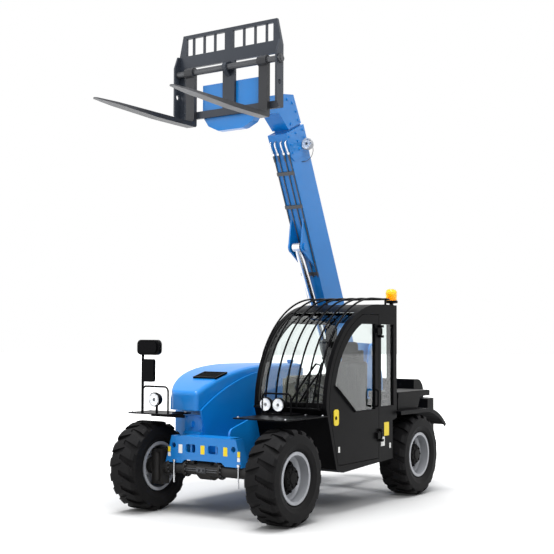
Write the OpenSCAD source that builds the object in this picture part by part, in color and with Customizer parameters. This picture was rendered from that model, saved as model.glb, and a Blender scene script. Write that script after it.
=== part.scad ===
/* [Wheels] */
// Distance between the front and rear axle
wheelbase = 2360; // [2300:10:2420]
// Distance from the middle of the machine to the middle of a wheel
half_track = 765; // [755:1:775]
// Outer diameter of a tyre over its lugs
tyre_od = 831; // [800:1:840]
// Width of a tyre
tyre_w = 305; // [290:1:315]
// Diameter of the rim's bead seat
rim_d = 424; // [414:1:434]
// Distance from the kingpin to the middle of its wheel
kingpin_offset = 100; // [95:1:105]

/* [Chassis] */
// Thickness of the two main frame plates
plate_t = 20; // [16:1:24]
// Width of the channel that the boom lies in
channel_w = 270; // [262:1:280]
// Distance from the rear axle to the back of the counterweight
rear_overhang = 1000; // [980:5:1100]
// Radius of the tow pin's hole
tow_pin_r = 16; // [12:1:20]
// Width of the front bumper plate at its foot
bumper_w = 874; // [840:2:880]
// Height of the bumper's top ledge above the ground
ledge_z = 715; // [700:1:720]

/* [Cab] */
// Outer face of the cab on the left
cab_left = 855; // [845:1:860]
// Radius of the windscreen's curve
screen_r = 980; // [970:1:985]
// Thickness of the cab's walls and of the door
wall_t = 40; // [36:1:44]

/* [Boom] */
// Angle of the boom above the horizontal as it stands
boom_deg = 65; // [60:1:68]
// Sideways place of the boom's middle
boom_y = -100; // [-102:1:-98]
// Outer width of the boom
boom_w = 210; // [200:1:214]
// Depth of the boom's box at its front
boom_h = 360; // [345:1:365]
// Length of the outer boom ahead of its pivot
boom_len = 2750; // [2700:5:2755]
// Height of the boom's pivot above the ground
pivot_z = 1460; // [1440:1:1480]
// Radius of the pivot pin
pivot_pin_r = 45; // [40:1:50]

/* [Forks] */
// Length of a fork from its heel to its tip
fork_len = 1330; // [1100:10:1500]
// Width of a fork
fork_w = 100; // [80:1:120]
// Thickness of a fork at its heel
fork_t = 45; // [40:1:50]
// Distance between the middles of the two forks
fork_gap = 860; // [600:10:900]
// Width of the fork carriage
carriage_w = 1218; // [1180:2:1240]

/* [Hidden] */
$fn = 48;
run_gap = 0.05;
axle_z = tyre_od / 2;
kingpin_y = half_track - kingpin_offset;
channel_r = boom_y - channel_w / 2;
channel_l = boom_y + channel_w / 2;
frame_r = channel_r - plate_t;
frame_l = channel_l + plate_t;
cab_right = frame_l;
pivot_x = -540;
frame_back = -760;
frame_front = wheelbase + 20;
ledge_back = wheelbase - 170;
bumper_mid = boom_y + 8;
frame_low = 330;
frame_arch = 490;
frame_top = ledge_z - 25;
arc_x = wheelbase - 1540;
arc_z = 976;
cab_back = 430;
roof_cut = arc_z + screen_r - 86;
floor_z = 470;
head_lx = boom_len + 404;
head_lz = -1105;
head_x = pivot_x + head_lx * cos(boom_deg) - head_lz * sin(boom_deg);
head_z = pivot_z + head_lx * sin(boom_deg) + head_lz * cos(boom_deg);
head_pin_r = 35;
shank_x = 240;
fork_drop = 192;
fork_tip_x = head_x + shank_x + fork_t + fork_len;
mid_x = (fork_tip_x - rear_overhang) / 2;
boom_top = -285;
boom_low = boom_top - boom_h;
boom_tail_rise = 105;
boom_wall = 12;
lift_x = -250;
lift_z = 600;
lift_pin_r = 30;
lift_eye_lx = 1571;
lift_eye_lz = -750;
lift_eye_x = pivot_x + lift_eye_lx * cos(boom_deg) - lift_eye_lz * sin(boom_deg);
lift_eye_z = pivot_z + lift_eye_lx * sin(boom_deg) + lift_eye_lz * cos(boom_deg);
lift_deg = atan2(lift_eye_z - lift_z, lift_eye_x - lift_x);
lift_len = norm([lift_eye_x - lift_x, lift_eye_z - lift_z]);
rod_r = 40;
rod_len = 1160;
barrel_len = 1150;
column_base = [arc_x + 687, 900];
column_deg = 35;
hinge_x = 797;
hinge_y = cab_left + 20;
bay_back = 490;
bay_front = wheelbase - 500;
bay_right = -860;
bay_top = 900;
hood_left = frame_r - 7;
hood_back = bay_back + 22;
hood_nose = wheelbase - 80;
hood_top = 1350;
hood_r = 3050;
hood_crown_x = wheelbase - 1260;
hood_hinge_x = bay_back + 16;
hood_hinge_z = hood_top + 22;
guard_z = 905;
fender_top = 886;

// Points along an arc from a0 to a1 degrees
function arc(x, z, r, a0, a1, n) =
  [for (i = [0:n]) let (a = a0 + (a1 - a0) * i / n) [x + r * cos(a), z + r * sin(a)]];
// Front of the cab at height z, below the windscreen's arc
function front_x(z) = arc_x + screen_r - (arc_z - z) * 0.32;
// Height of the hood's crown, one long arc, at x
function hood_z(x) =
  hood_top - hood_r + sqrt(hood_r * hood_r - pow(max(x - hood_crown_x, 0), 2));
// A rectangle with round corners
function rounded(w, h, r, n) =
  concat(arc(w / 2 - r, h / 2 - r, r, 0, 90, n), arc(r - w / 2, h / 2 - r, r, 90, 180, n),
    arc(r - w / 2, r - h / 2, r, 180, 270, n), arc(w / 2 - r, r - h / 2, r, 270, 360, n));

// The machine is drawn from the rear axle and set down on the middle of its outline
module place() { translate([-mid_x, 0, 0]) children(); }
// A side view outline (x, z) made solid from y0 to y1
module slab(y0, y1) { translate([0, y1, 0]) rotate([90, 0, 0]) linear_extrude(y1 - y0) children(); }
// A rod or bore that lies across the machine
module cross(x, z, r, y0, y1) { translate([x, y0, z]) rotate([-90, 0, 0]) cylinder(r = r, h = y1 - y0); }
module box(x0, x1, y0, y1, z0, z1) { translate([x0, y0, z0]) cube([x1 - x0, y1 - y0, z1 - z0]); }
// The boom's own frame: x along the boom, y from its middle, origin on the pivot
module in_boom() { translate([pivot_x, boom_y, pivot_z]) rotate([0, -boom_deg, 0]) children(); }
// The carriage's own frame, level, with its origin on the head pin
module in_carriage() { translate([head_x, boom_y, head_z]) children(); }
// A tube bent into a hoop that stands across the machine on z0
module hoop(x, y0, y1, z0, z1, r, bend) {
  for (y = [y0, y1]) translate([x, y, z0]) cylinder(r = r, h = z1 - bend - z0);
  cross(x, z1, r, y0 + bend, y1 - bend);
  translate([x, y1 - bend, z1 - bend]) rotate([90, 0, 90]) rotate_extrude(angle = 90)
    translate([bend, 0]) circle(r = r);
  translate([x, y0 + bend, z1 - bend]) rotate([90, 0, 90]) rotate([0, 0, 90]) rotate_extrude(angle = 90)
    translate([bend, 0]) circle(r = r);
}
module in_lift() { translate([lift_x, boom_y, lift_z]) rotate([0, -lift_deg, 0]) children(); }
// A wheel's own frame: y outward from the kingpin
module in_wheel(x, side) { translate([x, side * kingpin_y, axle_z]) scale([1, side, 1]) children(); }

// Chassis
module frame_outline(front_rise) {
  polygon(concat(
    [[frame_back, frame_arch], [480, frame_arch], [560, frame_low], [wheelbase - 570, frame_low],
     [wheelbase - 490, frame_arch], [frame_front, frame_arch], [frame_front, frame_top],
     [ledge_back, frame_top]],
    front_rise,
    [[-250, 750]],
    arc(pivot_x, pivot_z, 105, 0, 170, 10),
    [[frame_back, 1150]]));
}
module chassis_frame() {
  nose_r = 65;
  left_rise = concat(arc(ledge_back - nose_r, ledge_z + 7, nose_r, 0, 75, 6),
    [[wheelbase - 520, ledge_z + 148], [wheelbase - 570, ledge_z + 160], [wheelbase - 660, 750]]);
  color("royalblue") {
    difference() {
      union() {
        slab(frame_r, channel_r) frame_outline([[ledge_back, 750]]);
        slab(channel_l, frame_l) frame_outline(left_rise);
      }
      cross(pivot_x, pivot_z, pivot_pin_r, frame_r - 1, frame_l + 1);
    }
    box(600, ledge_back, channel_r, channel_l, 500, 515);
    box(frame_back, frame_back + 15, channel_r, channel_l, 500, 900);
    box(ledge_back, frame_front, channel_r, channel_l, 545, 560);
    cross(lift_x, lift_z, lift_pin_r, channel_r - 1, channel_l + 1);
  }
}
module front_bumper() {
  foot = bumper_w / 2;
  top = foot - 69;
  low = 467;
  wing_t = 16;
  wing_depth = 90;
  color("dodgerblue") {
    difference() {
      union() {
        translate([frame_front, bumper_mid, 0]) rotate([90, 0, 90]) linear_extrude(22)
          polygon([[-foot, low], [-250, low], [-210, 500], [210, 500], [250, low], [foot, low],
            [top, ledge_z], [-top, ledge_z]]);
        box(ledge_back, frame_front, bumper_mid - 270, bumper_mid + 270, frame_top, ledge_z);
      }
      for (y = [-143, 114]) translate([frame_front - 1, bumper_mid + y, 606]) rotate([90, 0, 90])
        linear_extrude(24) polygon(rounded(112, 76, 18, 4));
      for (s = [-1, 1])
        translate([frame_front - 1, bumper_mid + s * 343, 625]) rotate([0, 90, 0]) cylinder(r = 26, h = 24);
    }
    for (s = [-1, 1]) translate([frame_front - wing_depth, bumper_mid, 0]) scale([1, s, 1]) {
      rotate([90, 0, 90]) linear_extrude(wing_depth)
        polygon([[foot - wing_t, low], [foot, low], [top, ledge_z], [top - wing_t, ledge_z]]);
      box(0, wing_depth, foot - 100, foot - wing_t, low, low + 12);
    }
  }
}
module front_shield() {
  lip = 34;
  top = guard_z - 5;
  color("dodgerblue") {
    slab(-465, frame_r)
      polygon([[ledge_back, ledge_z], [ledge_back + 45, ledge_z], [ledge_back + 45, ledge_z + 10],
        [ledge_back + 14, ledge_z + 24], [ledge_back + 12, top - 15], [ledge_back + lip, top - 8],
        [ledge_back + lip, top], [ledge_back, top]]);
    slab(-372, -358)
      polygon([[ledge_back + 12, ledge_z + 60], [ledge_back + 40, ledge_z + 75],
        [ledge_back + 40, ledge_z + 110], [ledge_back + 12, ledge_z + 125]]);
  }
}
module counterweight() {
  half = 620;
  color("mediumblue") difference() {
    union() {
      translate([0, 0, 480]) linear_extrude(470)
        polygon(concat([[frame_back, -half], [frame_back, half]],
          arc(-rear_overhang + 110, half - 110, 110, 90, 180, 6),
          arc(-rear_overhang + 110, -half + 110, 110, 180, 270, 6)));
      slab(-450, 450)
        polygon(concat([[frame_back, 950], [frame_back, 1160]],
          arc(-rear_overhang + 150, 1010, 150, 90, 180, 6), [[-rear_overhang, 950]]));
    }
    for (s = [-1, 1])
      box(-rear_overhang - 1, -rear_overhang + 40, s * 400 - 90, s * 400 + 90, 790, 880);
    box(-rear_overhang - 1, -rear_overhang + 130, -60, 60, 560, 640);
    box(-rear_overhang - 1, -rear_overhang + 130, -60, 60, 700, 1161);
    translate([-rear_overhang + 65, 0, 479]) cylinder(r = tow_pin_r, h = 222);
  }
}
module boom_pivot_pin() {
  color("silver") {
    cross(pivot_x, pivot_z, pivot_pin_r, frame_r - 12, frame_l + 12);
    cross(pivot_x, pivot_z, 70, frame_l, frame_l + 12);
    cross(pivot_x, pivot_z, 70, frame_r - 12, frame_r);
  }
}

// Axles and wheels
ear_z = 136;
ear_t = 26;
kingpin_r = 22;
spindle_r = 45;
hub_y0 = kingpin_offset - 20;
hub_y1 = kingpin_offset + 90;
module axle(x) {
  color("dimgray") translate([x, 0, axle_z]) {
    cross(0, 0, 50, -kingpin_y + 90, kingpin_y - 90);
    translate([-60, boom_y, 0]) rotate([-90, 0, 0])
      rotate_extrude() polygon([[0, -150], [45, -145], [95, -70], [95, 70], [45, 145], [0, 150]]);
    for (y = [frame_r - 20, channel_l - 20])
      box(-90, 15, y, y + plate_t + 40, 0, frame_arch - axle_z);
    for (s = [-1, 1]) scale([1, s, 1]) translate([0, kingpin_y, 0]) {
      box(-50, 50, -105, -75, -ear_z - ear_t, ear_z + ear_t);
      for (z = [-ear_z - ear_t, ear_z]) {
        box(-50, 50, -105, 0, z, z + ear_t);
        translate([0, 0, z]) cylinder(r = 55, h = ear_t);
      }
      translate([0, 0, -ear_z]) cylinder(r = kingpin_r, h = 2 * ear_z);
    }
  }
}
module knuckle(x, side) {
  color("dimgray") in_wheel(x, side) difference() {
    union() {
      translate([0, 0, -ear_z + 2]) cylinder(r = 52, h = 2 * ear_z - 4);
      cross(0, 0, 75, 20, hub_y0 - 6);
      cross(0, 0, spindle_r, 20, hub_y1 - 25);
    }
    translate([0, 0, -ear_z]) cylinder(r = kingpin_r + run_gap, h = 2 * ear_z);
  }
}
module rim(x, side) {
  seat_r = rim_d / 2;
  well_r = seat_r - 12;
  half = 128;
  hub_end = hub_y1 - kingpin_offset;
  color("silver") in_wheel(x, side) translate([0, kingpin_offset, 0]) rotate([-90, 0, 0]) difference() {
    rotate_extrude() polygon([[0, hub_end], [88, hub_end], [102, hub_end - 12], [102, 24], [150, 14],
      [well_r - 20, 22], [well_r, 42], [well_r, half], [seat_r + 16, half], [seat_r + 16, half - 10],
      [seat_r, half - 10],
      [seat_r, 10 - half], [seat_r + 16, 10 - half], [seat_r + 16, -half], [well_r, -half], [well_r, 24],
      [well_r - 24, 6], [150, -2], [100, 6], [100, -20], [0, -20]]);
    translate([0, 0, -21]) cylinder(r = spindle_r + run_gap, h = hub_y1 - hub_y0 - 24);
  }
}
// A tyre: slanted lugs on each side, half a pitch apart, stand between grooves cut into its crown
lugs = 18;
groove_depth = 30;
groove_mid = 78;
groove_slant = 0.42;
groove_dip = 11;
module groove() {
  half = tyre_w / 2;
  inner = -20 - groove_mid;
  outer = half + 25 - groove_mid;
  translate([tyre_od / 2 - groove_depth, 0, groove_mid]) rotate([0, 90 - groove_dip, 0]) linear_extrude(80)
    polygon([[-inner, groove_slant * inner - 22], [-inner, groove_slant * inner + 22],
      [-outer, groove_slant * outer + 38], [-outer, groove_slant * outer - 38]]);
}
module tyre(x, side) {
  seat_r = rim_d / 2;
  half = tyre_w / 2;
  out = tyre_od / 2;
  color("black") in_wheel(x, side) translate([0, kingpin_offset, 0]) rotate([-90, 0, 0]) difference() {
    rotate_extrude() polygon([[seat_r, -118], [seat_r, 118], [seat_r + 22, 118], [seat_r + 45, half - 12],
      [seat_r + 85, half], [out - 50, half - 3], [out - 16, half - 16], [out, half - 44], [out, 44 - half],
      [out - 16, 16 - half], [out - 50, 3 - half], [seat_r + 85, -half], [seat_r + 45, 12 - half],
      [seat_r + 22, -118]]);
    for (i = [0:lugs - 1]) rotate([0, 0, i * 360 / lugs]) {
      groove();
      rotate([0, 0, 180 / lugs]) mirror([0, 0, 1]) groove();
    }
  }
}

// Engine bay and hood on the right
module engine_bay() {
  wall_r = 2346;
  wall_top = 1300;
  wall_x = wheelbase - 1360;
  nose_x = wheelbase - 116;
  nose_deg = acos((nose_x - wall_x) / wall_r);
  color("royalblue") difference() {
    union() {
      difference() {
        box(bay_back, bay_front, bay_right, frame_r, 420, bay_top);
        box(bay_back + 15, bay_front - 15, bay_right + 15, frame_r + 1, 435, bay_top + 1);
      }
      box(bay_back, bay_back + 15, bay_right, frame_r, bay_top, hood_top - 8);
      slab(frame_r, channel_r) polygon(concat([[bay_back, 750], [ledge_back, 750]],
        arc(wall_x, wall_top - wall_r, wall_r, nose_deg, 90, 12), [[bay_back, wall_top]]));
      for (y = [-760, -420])
        slab(y, y + 30) polygon(concat([[bay_back, hood_top - 100]],
          arc(hood_hinge_x, hood_hinge_z, 16, 180, 0, 8),
          [[bay_back + 15, hood_top], [bay_back + 15, hood_top - 100]]));
    }
    for (y = [-761, -421])
      cross(hood_hinge_x, hood_hinge_z, 8, y, y + 32);
  }
  color("silver") for (y = [-760, -420])
    cross(hood_hinge_x, hood_hinge_z, 8, y, y + 70);
}
module engine() {
  color("dimgray") box(720, bay_front - 380, -790, -330, 435, 1010);
}
// Side view of the hood: a long crown arc with a round nose, open below and behind where it is hollowed
module hood_outline(t) {
  nose_r = 50;
  nose_z = 1080;
  crown = hood_nose - nose_r + 8;
  back = t == 0 ? hood_back : hood_back - 1;
  polygon(concat(
    [[back, bay_top + 6 - t], [bay_front + t / 4, bay_top + 6 - t], [hood_nose - t, 940 - t]],
    arc(hood_nose - nose_r, nose_z, nose_r - t, 0, 66, 6),
    [for (i = [0:12]) let (x = crown + (hood_crown_x - crown) * i / 12) [x, hood_z(x) - t]],
    [[back, hood_top - t]]));
}
// Plan of the hood: straight along the boom, with an outer side that curves in to the nose
module hood_plan(t) {
  bend_x = wheelbase - 860;
  bend_r = 1221;
  polygon(concat([[bay_back, bay_right + t]],
    arc(bend_x, bay_right + bend_r, bend_r - t, -90, asin((hood_nose + 10 - bend_x) / bend_r) - 90, 10),
    [[hood_nose + 10, hood_left - t], [bay_back, hood_left - t]]));
}
module hood() {
  skin = 14;
  color("dodgerblue") {
    difference() {
      intersection() {
        slab(bay_right - 1, hood_left + 1) hood_outline(0);
        linear_extrude(hood_top + 10) hood_plan(0);
      }
      intersection() {
        slab(bay_right - 1, hood_left + 1) hood_outline(skin);
        linear_extrude(hood_top + 10) hood_plan(skin);
      }
      box(hood_nose - 6, hood_nose + 1, -535, hood_left - 34, 962, 1050);
      for (i = [0:7]) box(720 + i * 80, 770 + i * 80, bay_right - 1, bay_right + skin + 1, 990, 1190);
    }
    for (y = [-729, -389]) difference() {
      union() {
        cross(hood_hinge_x, hood_hinge_z, 16, y, y + 36);
        box(hood_hinge_x, hood_hinge_x + 50, y, y + 36, hood_top - 2, hood_hinge_z);
      }
      cross(hood_hinge_x, hood_hinge_z, 8 + run_gap, y - 1, y + 37);
    }
  }
}
module hood_vent() {
  x = wheelbase - 487;
  slats = 7;
  color("black") translate([x, -418, hood_z(x)]) rotate([0, asin((x - hood_crown_x) / hood_r), 0]) {
    difference() {
      box(-95, 95, -140, 140, 0, 16);
      box(-83, 83, -128, 128, 4, 17);
    }
    for (i = [0:slats - 1]) translate([-80 + i * 22, 0, 0])
      slab(-129, 129) polygon([[0, 3], [5, 3], [17, 13], [12, 13]]);
  }
}

// Cab
module cab_outline(t) {
  r = screen_r - t;
  under = t == 0 ? [[520, 420], [arc_x + 680, 375], [front_x(411), 411]]
    : [[520 + t, floor_z], [front_x(floor_z) - 1.05 * t, floor_z]];
  polygon(concat(under, [[arc_x + r, arc_z]],
    arc(arc_x, arc_z, r, 4, 90, 24),
    [[cab_back + t, arc_z + r], [cab_back + t, 820 + t / 4], [520 + t, 800 + t / 4]]));
}
door_back = hinge_x + 15;
door_r = screen_r - 55;
door_top = roof_cut - 20;
pane_r = screen_r - 130;
pane_top = roof_cut - 110;
function top_deg(r, z) = asin((z - arc_z) / r);
function door_outline(g) = concat(
  [[door_back - g, 450 - g], [arc_x + 768 + g * 0.9, 450 - g], [arc_x + door_r + g, arc_z]],
  arc(arc_x, arc_z, door_r + g, 3, top_deg(door_r + g, door_top + g), 18), [[door_back - g, door_top + g]]);
function door_window() = concat([[door_back + 68, 930], [arc_x + 465, 930], [arc_x + pane_r - 22, 1180]],
  arc(arc_x, arc_z, pane_r, 15, top_deg(pane_r, pane_top), 14), [[door_back + 68, pane_top]]);
function right_window() = concat([[cab_back + 70, 1000], [arc_x + pane_r + 20, 1000]],
  arc(arc_x, arc_z, pane_r + 20, 5, top_deg(pane_r + 20, pane_top), 14), [[cab_back + 70, pane_top]]);
quarter_window = [[cab_back + 70, 950], [door_back - 52, 950], [door_back - 52, pane_top],
  [cab_back + 70, pane_top]];
back_window_top = roof_cut - 90;
module cab_hollow() {
  difference() {
    slab(cab_right, cab_left) cab_outline(0);
    slab(cab_right + wall_t, cab_left - wall_t) cab_outline(wall_t);
  }
}
module cab_shell() {
  color("#202428") difference() {
    cab_hollow();
    box(cab_back - 1, front_x(arc_z) + 200, cab_right - 1, cab_left + 1, roof_cut, arc_z + screen_r + 40);
    slab(cab_left - wall_t, cab_left + 1) polygon(door_outline(6));
    slab(cab_left - wall_t - 1, cab_left + 1) polygon(quarter_window);
    slab(cab_right - 1, cab_right + wall_t + 1) polygon(right_window());
    box(cab_back - 1, cab_back + wall_t + 1, cab_right + 100, cab_left - 100, 1000, back_window_top);
    slab(cab_right + wall_t, cab_left - wall_t)
      polygon(concat(arc(arc_x, arc_z, screen_r - wall_t - 10, 3, 70, 16),
        arc(arc_x, arc_z, screen_r + 10, 70, 3, 16)));
  }
}
module cab_roof() {
  color("#202428") intersection() {
    cab_hollow();
    box(cab_back - 1, front_x(arc_z) + 200, cab_right - 1, cab_left + 1, roof_cut, arc_z + screen_r + 40);
  }
}
module windscreen() {
  edge_r = screen_r - 18;
  head_deg = top_deg(edge_r, roof_cut - 1);
  color("lightblue", 0.4) slab(cab_right + wall_t, cab_left - wall_t)
    polygon(concat(arc(arc_x, arc_z, edge_r - 8, 3, head_deg, 20),
      arc(arc_x, arc_z, edge_r, head_deg, 3, 20)));
}
module cab_glass() {
  color("lightblue", 0.4) {
    slab(cab_left - 23, cab_left - 17) polygon(quarter_window);
    slab(cab_right + 17, cab_right + 23) polygon(right_window());
    box(cab_back + 17, cab_back + 23, cab_right + 100, cab_left - 100, 1000, back_window_top);
  }
}
module windscreen_guard() {
  bars = 6;
  guard_r = screen_r + 60;
  y0 = cab_right + 55;
  y1 = cab_left - 55;
  color("#202428") {
    for (i = [0:bars]) translate([arc_x, y0 + (y1 - y0) * i / bars, arc_z]) {
      rotate([90, 0, 0]) rotate_extrude(angle = 90) translate([guard_r, 0]) circle(r = 9);
      translate([-330, 0, guard_r]) rotate([0, 90, 0]) cylinder(r = 9, h = 330);
    }
    for (y = [y0, y1]) {
      translate([arc_x + screen_r, y, arc_z]) box(0, 60, -6, 6, -12, 12);
      translate([arc_x - 250, y, arc_z + screen_r]) box(-12, 12, -6, 6, 0, 60);
    }
    cross(arc_x + guard_r, arc_z, 11, y0 - 15, y1 + 15);
    cross(arc_x - 250, arc_z + guard_r, 11, y0 - 15, y1 + 15);
  }
}
module door() {
  color("#202428") {
    difference() {
      slab(cab_left - wall_t, cab_left) polygon(door_outline(0));
      slab(cab_left - wall_t - 1, cab_left + 1) polygon(door_window());
    }
    for (z = [640, 1660]) translate([hinge_x, hinge_y, z]) difference() {
      union() {
        cylinder(r = 13, h = 60);
        box(0, 75, -20, 6, 0, 60);
      }
      translate([0, 0, -1]) cylinder(r = 7 + run_gap, h = 62);
    }
  }
}
module door_glass() {
  color("lightblue", 0.4) slab(cab_left - 23, cab_left - 17) polygon(door_window());
}
module door_hinge_pins() {
  for (z = [632, 1652]) translate([hinge_x, hinge_y, z]) {
    cylinder(r = 7, h = 76);
    for (h = [-24, 76]) translate([0, 0, h]) {
      cylinder(r = 13, h = 24);
      box(-45, 0, -20, 6, 0, 24);
    }
  }
}
module seat() {
  color("#151515") {
    box(720, 1080, 320, 590, floor_z, 740);
    box(640, 1160, 210, 700, 740, 870);
    box(620, 740, 230, 680, 870, 1420);
    box(630, 720, 350, 560, 1420, 1600);
  }
}
module dash() {
  rise = [70 * cos(column_deg), 70 * sin(column_deg)];
  color("#5b5a50") slab(220, 690) polygon([[arc_x + 610, floor_z], [arc_x + 770, floor_z], [arc_x + 870, 800],
    [arc_x + 870, 960], column_base + rise, column_base - rise]);
}
module steering_wheel() {
  color("#151515") translate([column_base.x, 455, column_base.y]) rotate([0, -column_deg, 0]) {
    cylinder(r = 28, h = 240);
    translate([0, 0, 240]) {
      rotate_extrude() translate([180, 0]) circle(r = 14);
      for (a = [0, 120, 240]) rotate([0, 0, a]) box(0, 180, -12, 12, -8, 8);
      cylinder(r = 45, h = 40, center = true);
    }
  }
}
// A round lamp that faces forward: a deep bowl with a rim round its recessed lens
module lamp(x, y, z, r) {
  translate([x, y, z]) rotate([0, 90, 0]) rotate_extrude()
    polygon([[0, 0], [r * 0.45, 2], [r * 0.8, 22], [r, 58], [r, 82], [r - 7, 86], [r - 7, 80], [0, 77]]);
}
module front_lamps() {
  base = front_x(arc_z);
  color("#151515") {
    slab(270, 600) polygon([[front_x(850), 850], [front_x(930), 930], [base + 200, 930], [base + 200, 916]]);
    for (y = [312, 452]) {
      lamp(base + 105, y, 1010, 66);
      translate([base + 145, y, 929]) cylinder(r = 11, h = 40);
    }
    hoop(base + 186, 280, 590, 929, 1112, 9, 40);
  }
}
module front_fender() {
  plate_end = wheelbase + 170;
  color("#202428") {
    box(ledge_back, plate_end, -885, -400, guard_z, guard_z + 12);
    box(ledge_back, ledge_back + 12, -885, -465, 860, guard_z);
    slab(620, cab_left) polygon([[front_x(guard_z), guard_z], [wheelbase + 120, guard_z],
      [wheelbase + 120, guard_z + 12], [front_x(guard_z + 12), guard_z + 12]]);
    box(front_x(arc_z) + 205, wheelbase + 120, 300, 620, guard_z, guard_z + 12);
  }
}
module mirrors() {
  x = wheelbase + 140;
  post_y = -735;
  top = guard_z + 12;
  color("#151515") {
    translate([x, post_y, top]) cylinder(r = 13, h = 640);
    translate([x - 26, -660, 1528]) rotate([90, 0, 90]) {
      linear_extrude(42) polygon(rounded(268, 142, 45, 6));
      translate([0, 0, 41]) linear_extrude(16) polygon(rounded(220, 100, 35, 6));
    }
    translate([x - 18, -660, 1313]) rotate([90, 0, 90]) linear_extrude(34) polygon(rounded(130, 212, 18, 4));
    lamp(x - 60, -575, 1046, 66);
    translate([x - 18, -575, top]) cylinder(r = 12, h = 75);
    hoop(x, post_y, -425, top, 1165, 9, 45);
  }
}
// A fender is one bent sheet, level and then falling back, with a lip along its outer edge
module fender_sheet(front, y0, y1, t) {
  bend_x = -150;
  bend_r = 690;
  fall = 44;
  slab(y0, y1) polygon(concat([[front, fender_top]],
    arc(bend_x, fender_top - bend_r, bend_r, 90, 90 + fall, 10),
    arc(bend_x, fender_top - bend_r, bend_r - t, 90 + fall, 90, 10), [[front, fender_top - t]]));
}
module rear_fenders() {
  color("dimgray") {
    fender_sheet(cab_back, 480, 905, 10);
    fender_sheet(cab_back, 895, 905, 38);
    fender_sheet(bay_back, -905, -480, 10);
    fender_sheet(bay_back, -905, -895, 38);
  }
}
module tank_box() {
  color("#202428") {
    slab(470, 800) polygon([[300, fender_top], [300, 1010], [-215, 1010], [-150, fender_top]]);
    slab(460, 810) polygon(concat([[310, 1009]], arc(290, 1050, 20, 0, 90, 4),
      arc(-400, 1050, 20, 90, 180, 4), [[-420, 1009]]));
  }
}
module beacon() {
  roof = arc_z + screen_r;
  color("#202428") {
    box(260, cab_back + 60, 700, 740, roof, roof + 10);
    translate([290, 720, roof + 10]) rotate_extrude()
      polygon([[0, 0], [20, 0], [20, 14], [66, 18], [66, 40], [0, 40]]);
  }
  color("orange") translate([290, 720, roof + 50]) rotate_extrude()
    polygon([[0, 0], [60, 0], [60, 84], [56, 102], [44, 116], [24, 124], [0, 126]]);
}

// Boom
module boom_side(t) {
  polygon([[-120 + t, boom_top - t], [boom_len, boom_top - t], [boom_len, boom_low + t], [950, boom_low + t],
    [-120 + t, boom_low + boom_tail_rise + t]]);
}
module boom_outer() {
  half = boom_w / 2;
  color("royalblue") in_boom() {
    difference() {
      union() {
        difference() {
          slab(-half, half) boom_side(0);
          slab(-half + boom_wall, half - boom_wall) boom_side(boom_wall);
        }
        for (y = [-half, half - 30]) slab(y, y + 30)
          polygon(concat([[260, boom_top], [-120, boom_top], [-120, -200]], arc(0, 0, 100, 190, 20, 12)));
        for (y = [-84, 66]) slab(y, y + 18) polygon(concat([[1300, boom_low]],
          arc(lift_eye_lx, lift_eye_lz, 62, 215, 325, 8), [[1840, boom_low]]));
        for (y = [-97, 83]) cross(lift_eye_lx, lift_eye_lz, 38, y, y + 14);
        for (y = [-half - 8, half - 1]) slab(y, y + 9)
          polygon([[boom_len - 300, boom_low + 40], [boom_len - 250, boom_low], [boom_len, boom_low],
            [boom_len, boom_top], [boom_len - 180, boom_top], [boom_len - 300, boom_top - 90]]);
      }
      box(boom_len - 20, boom_len + 1, -87, 87, -547, -303);
      cross(0, 0, pivot_pin_r + run_gap, -half - 1, half + 1);
    }
    difference() {
      box(boom_len - 110, boom_len - 4, -half + boom_wall, half - boom_wall, boom_low + boom_wall,
        boom_top - boom_wall);
      box(boom_len - 111, boom_len - 3, -85.3, 85.3, -545.3, -304.7);
    }
  }
}
// Four pipes under the boom, each with a union at its front, in clamp bars clear of the lift bracket
module boom_tubes() {
  pipe_start = 1190;
  pipe_end = boom_len - 190;
  pipe_z = boom_low - 8;
  color("silver") in_boom() {
    for (y = [-92, -36, 36, 92]) {
      translate([pipe_start, y, pipe_z]) rotate([0, 90, 0]) cylinder(r = 6, h = pipe_end - pipe_start);
      translate([pipe_end - 90, y, pipe_z - 2]) rotate([0, 90, 0]) cylinder(r = 10, h = 90);
    }
    for (x = [pipe_start + 20, 1960, pipe_end - 240]) box(x, x + 36, -104, 104, pipe_z - 7, boom_low);
  }
}
module boom_lamp() {
  side = boom_w / 2 + 8;
  along = boom_len - 190;
  color("#151515") in_boom() {
    box(along - 18, along + 18, side, side + 60, -400, -388);
    translate([along, side + 66, -394]) rotate([0, boom_deg, 0]) translate([-60, 0, 0]) lamp(0, 0, 0, 62);
  }
}
module boom_inner() {
  half = 85;
  color("royalblue") in_boom() {
    difference() {
      box(150, boom_len + 20, -half, half, -545, -305);
      box(149, boom_len + 21, -half + 10, half - 10, -535, -315);
    }
    difference() {
      slab(-100, 100) polygon(concat([[boom_len + 20, -305], [boom_len + 323, -326], [boom_len + 374, -497]],
        arc(head_lx, head_lz, 75, 10, -170, 12), [[boom_len + 215, -660], [boom_len + 20, -560]]));
      slab(-80, 80) polygon([[boom_len + 40, -325], [boom_len + 305, -345], [boom_len + 352, -500],
        [boom_len + 400, -900], [boom_len + 360, -980], [boom_len + 240, -640], [boom_len + 40, -540]]);
      cross(head_lx, head_lz, head_pin_r + run_gap, -101, 101);
    }
    for (y = [-107, 99]) difference() {
      cross(head_lx, head_lz, 58, y, y + 8);
      cross(head_lx, head_lz, head_pin_r + run_gap, y - 1, y + 9);
    }
  }
}
module head_lamp() {
  color("gold") in_boom() {
    box(boom_len + 170, boom_len + 200, -140, -100, -470, -440);
    translate([boom_len + 110, -150, -455]) rotate([0, 90, 0]) rotate_extrude()
      polygon([[0, 0], [26, 4], [42, 22], [46, 60], [46, 110], [40, 128], [0, 132]]);
  }
}
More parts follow.
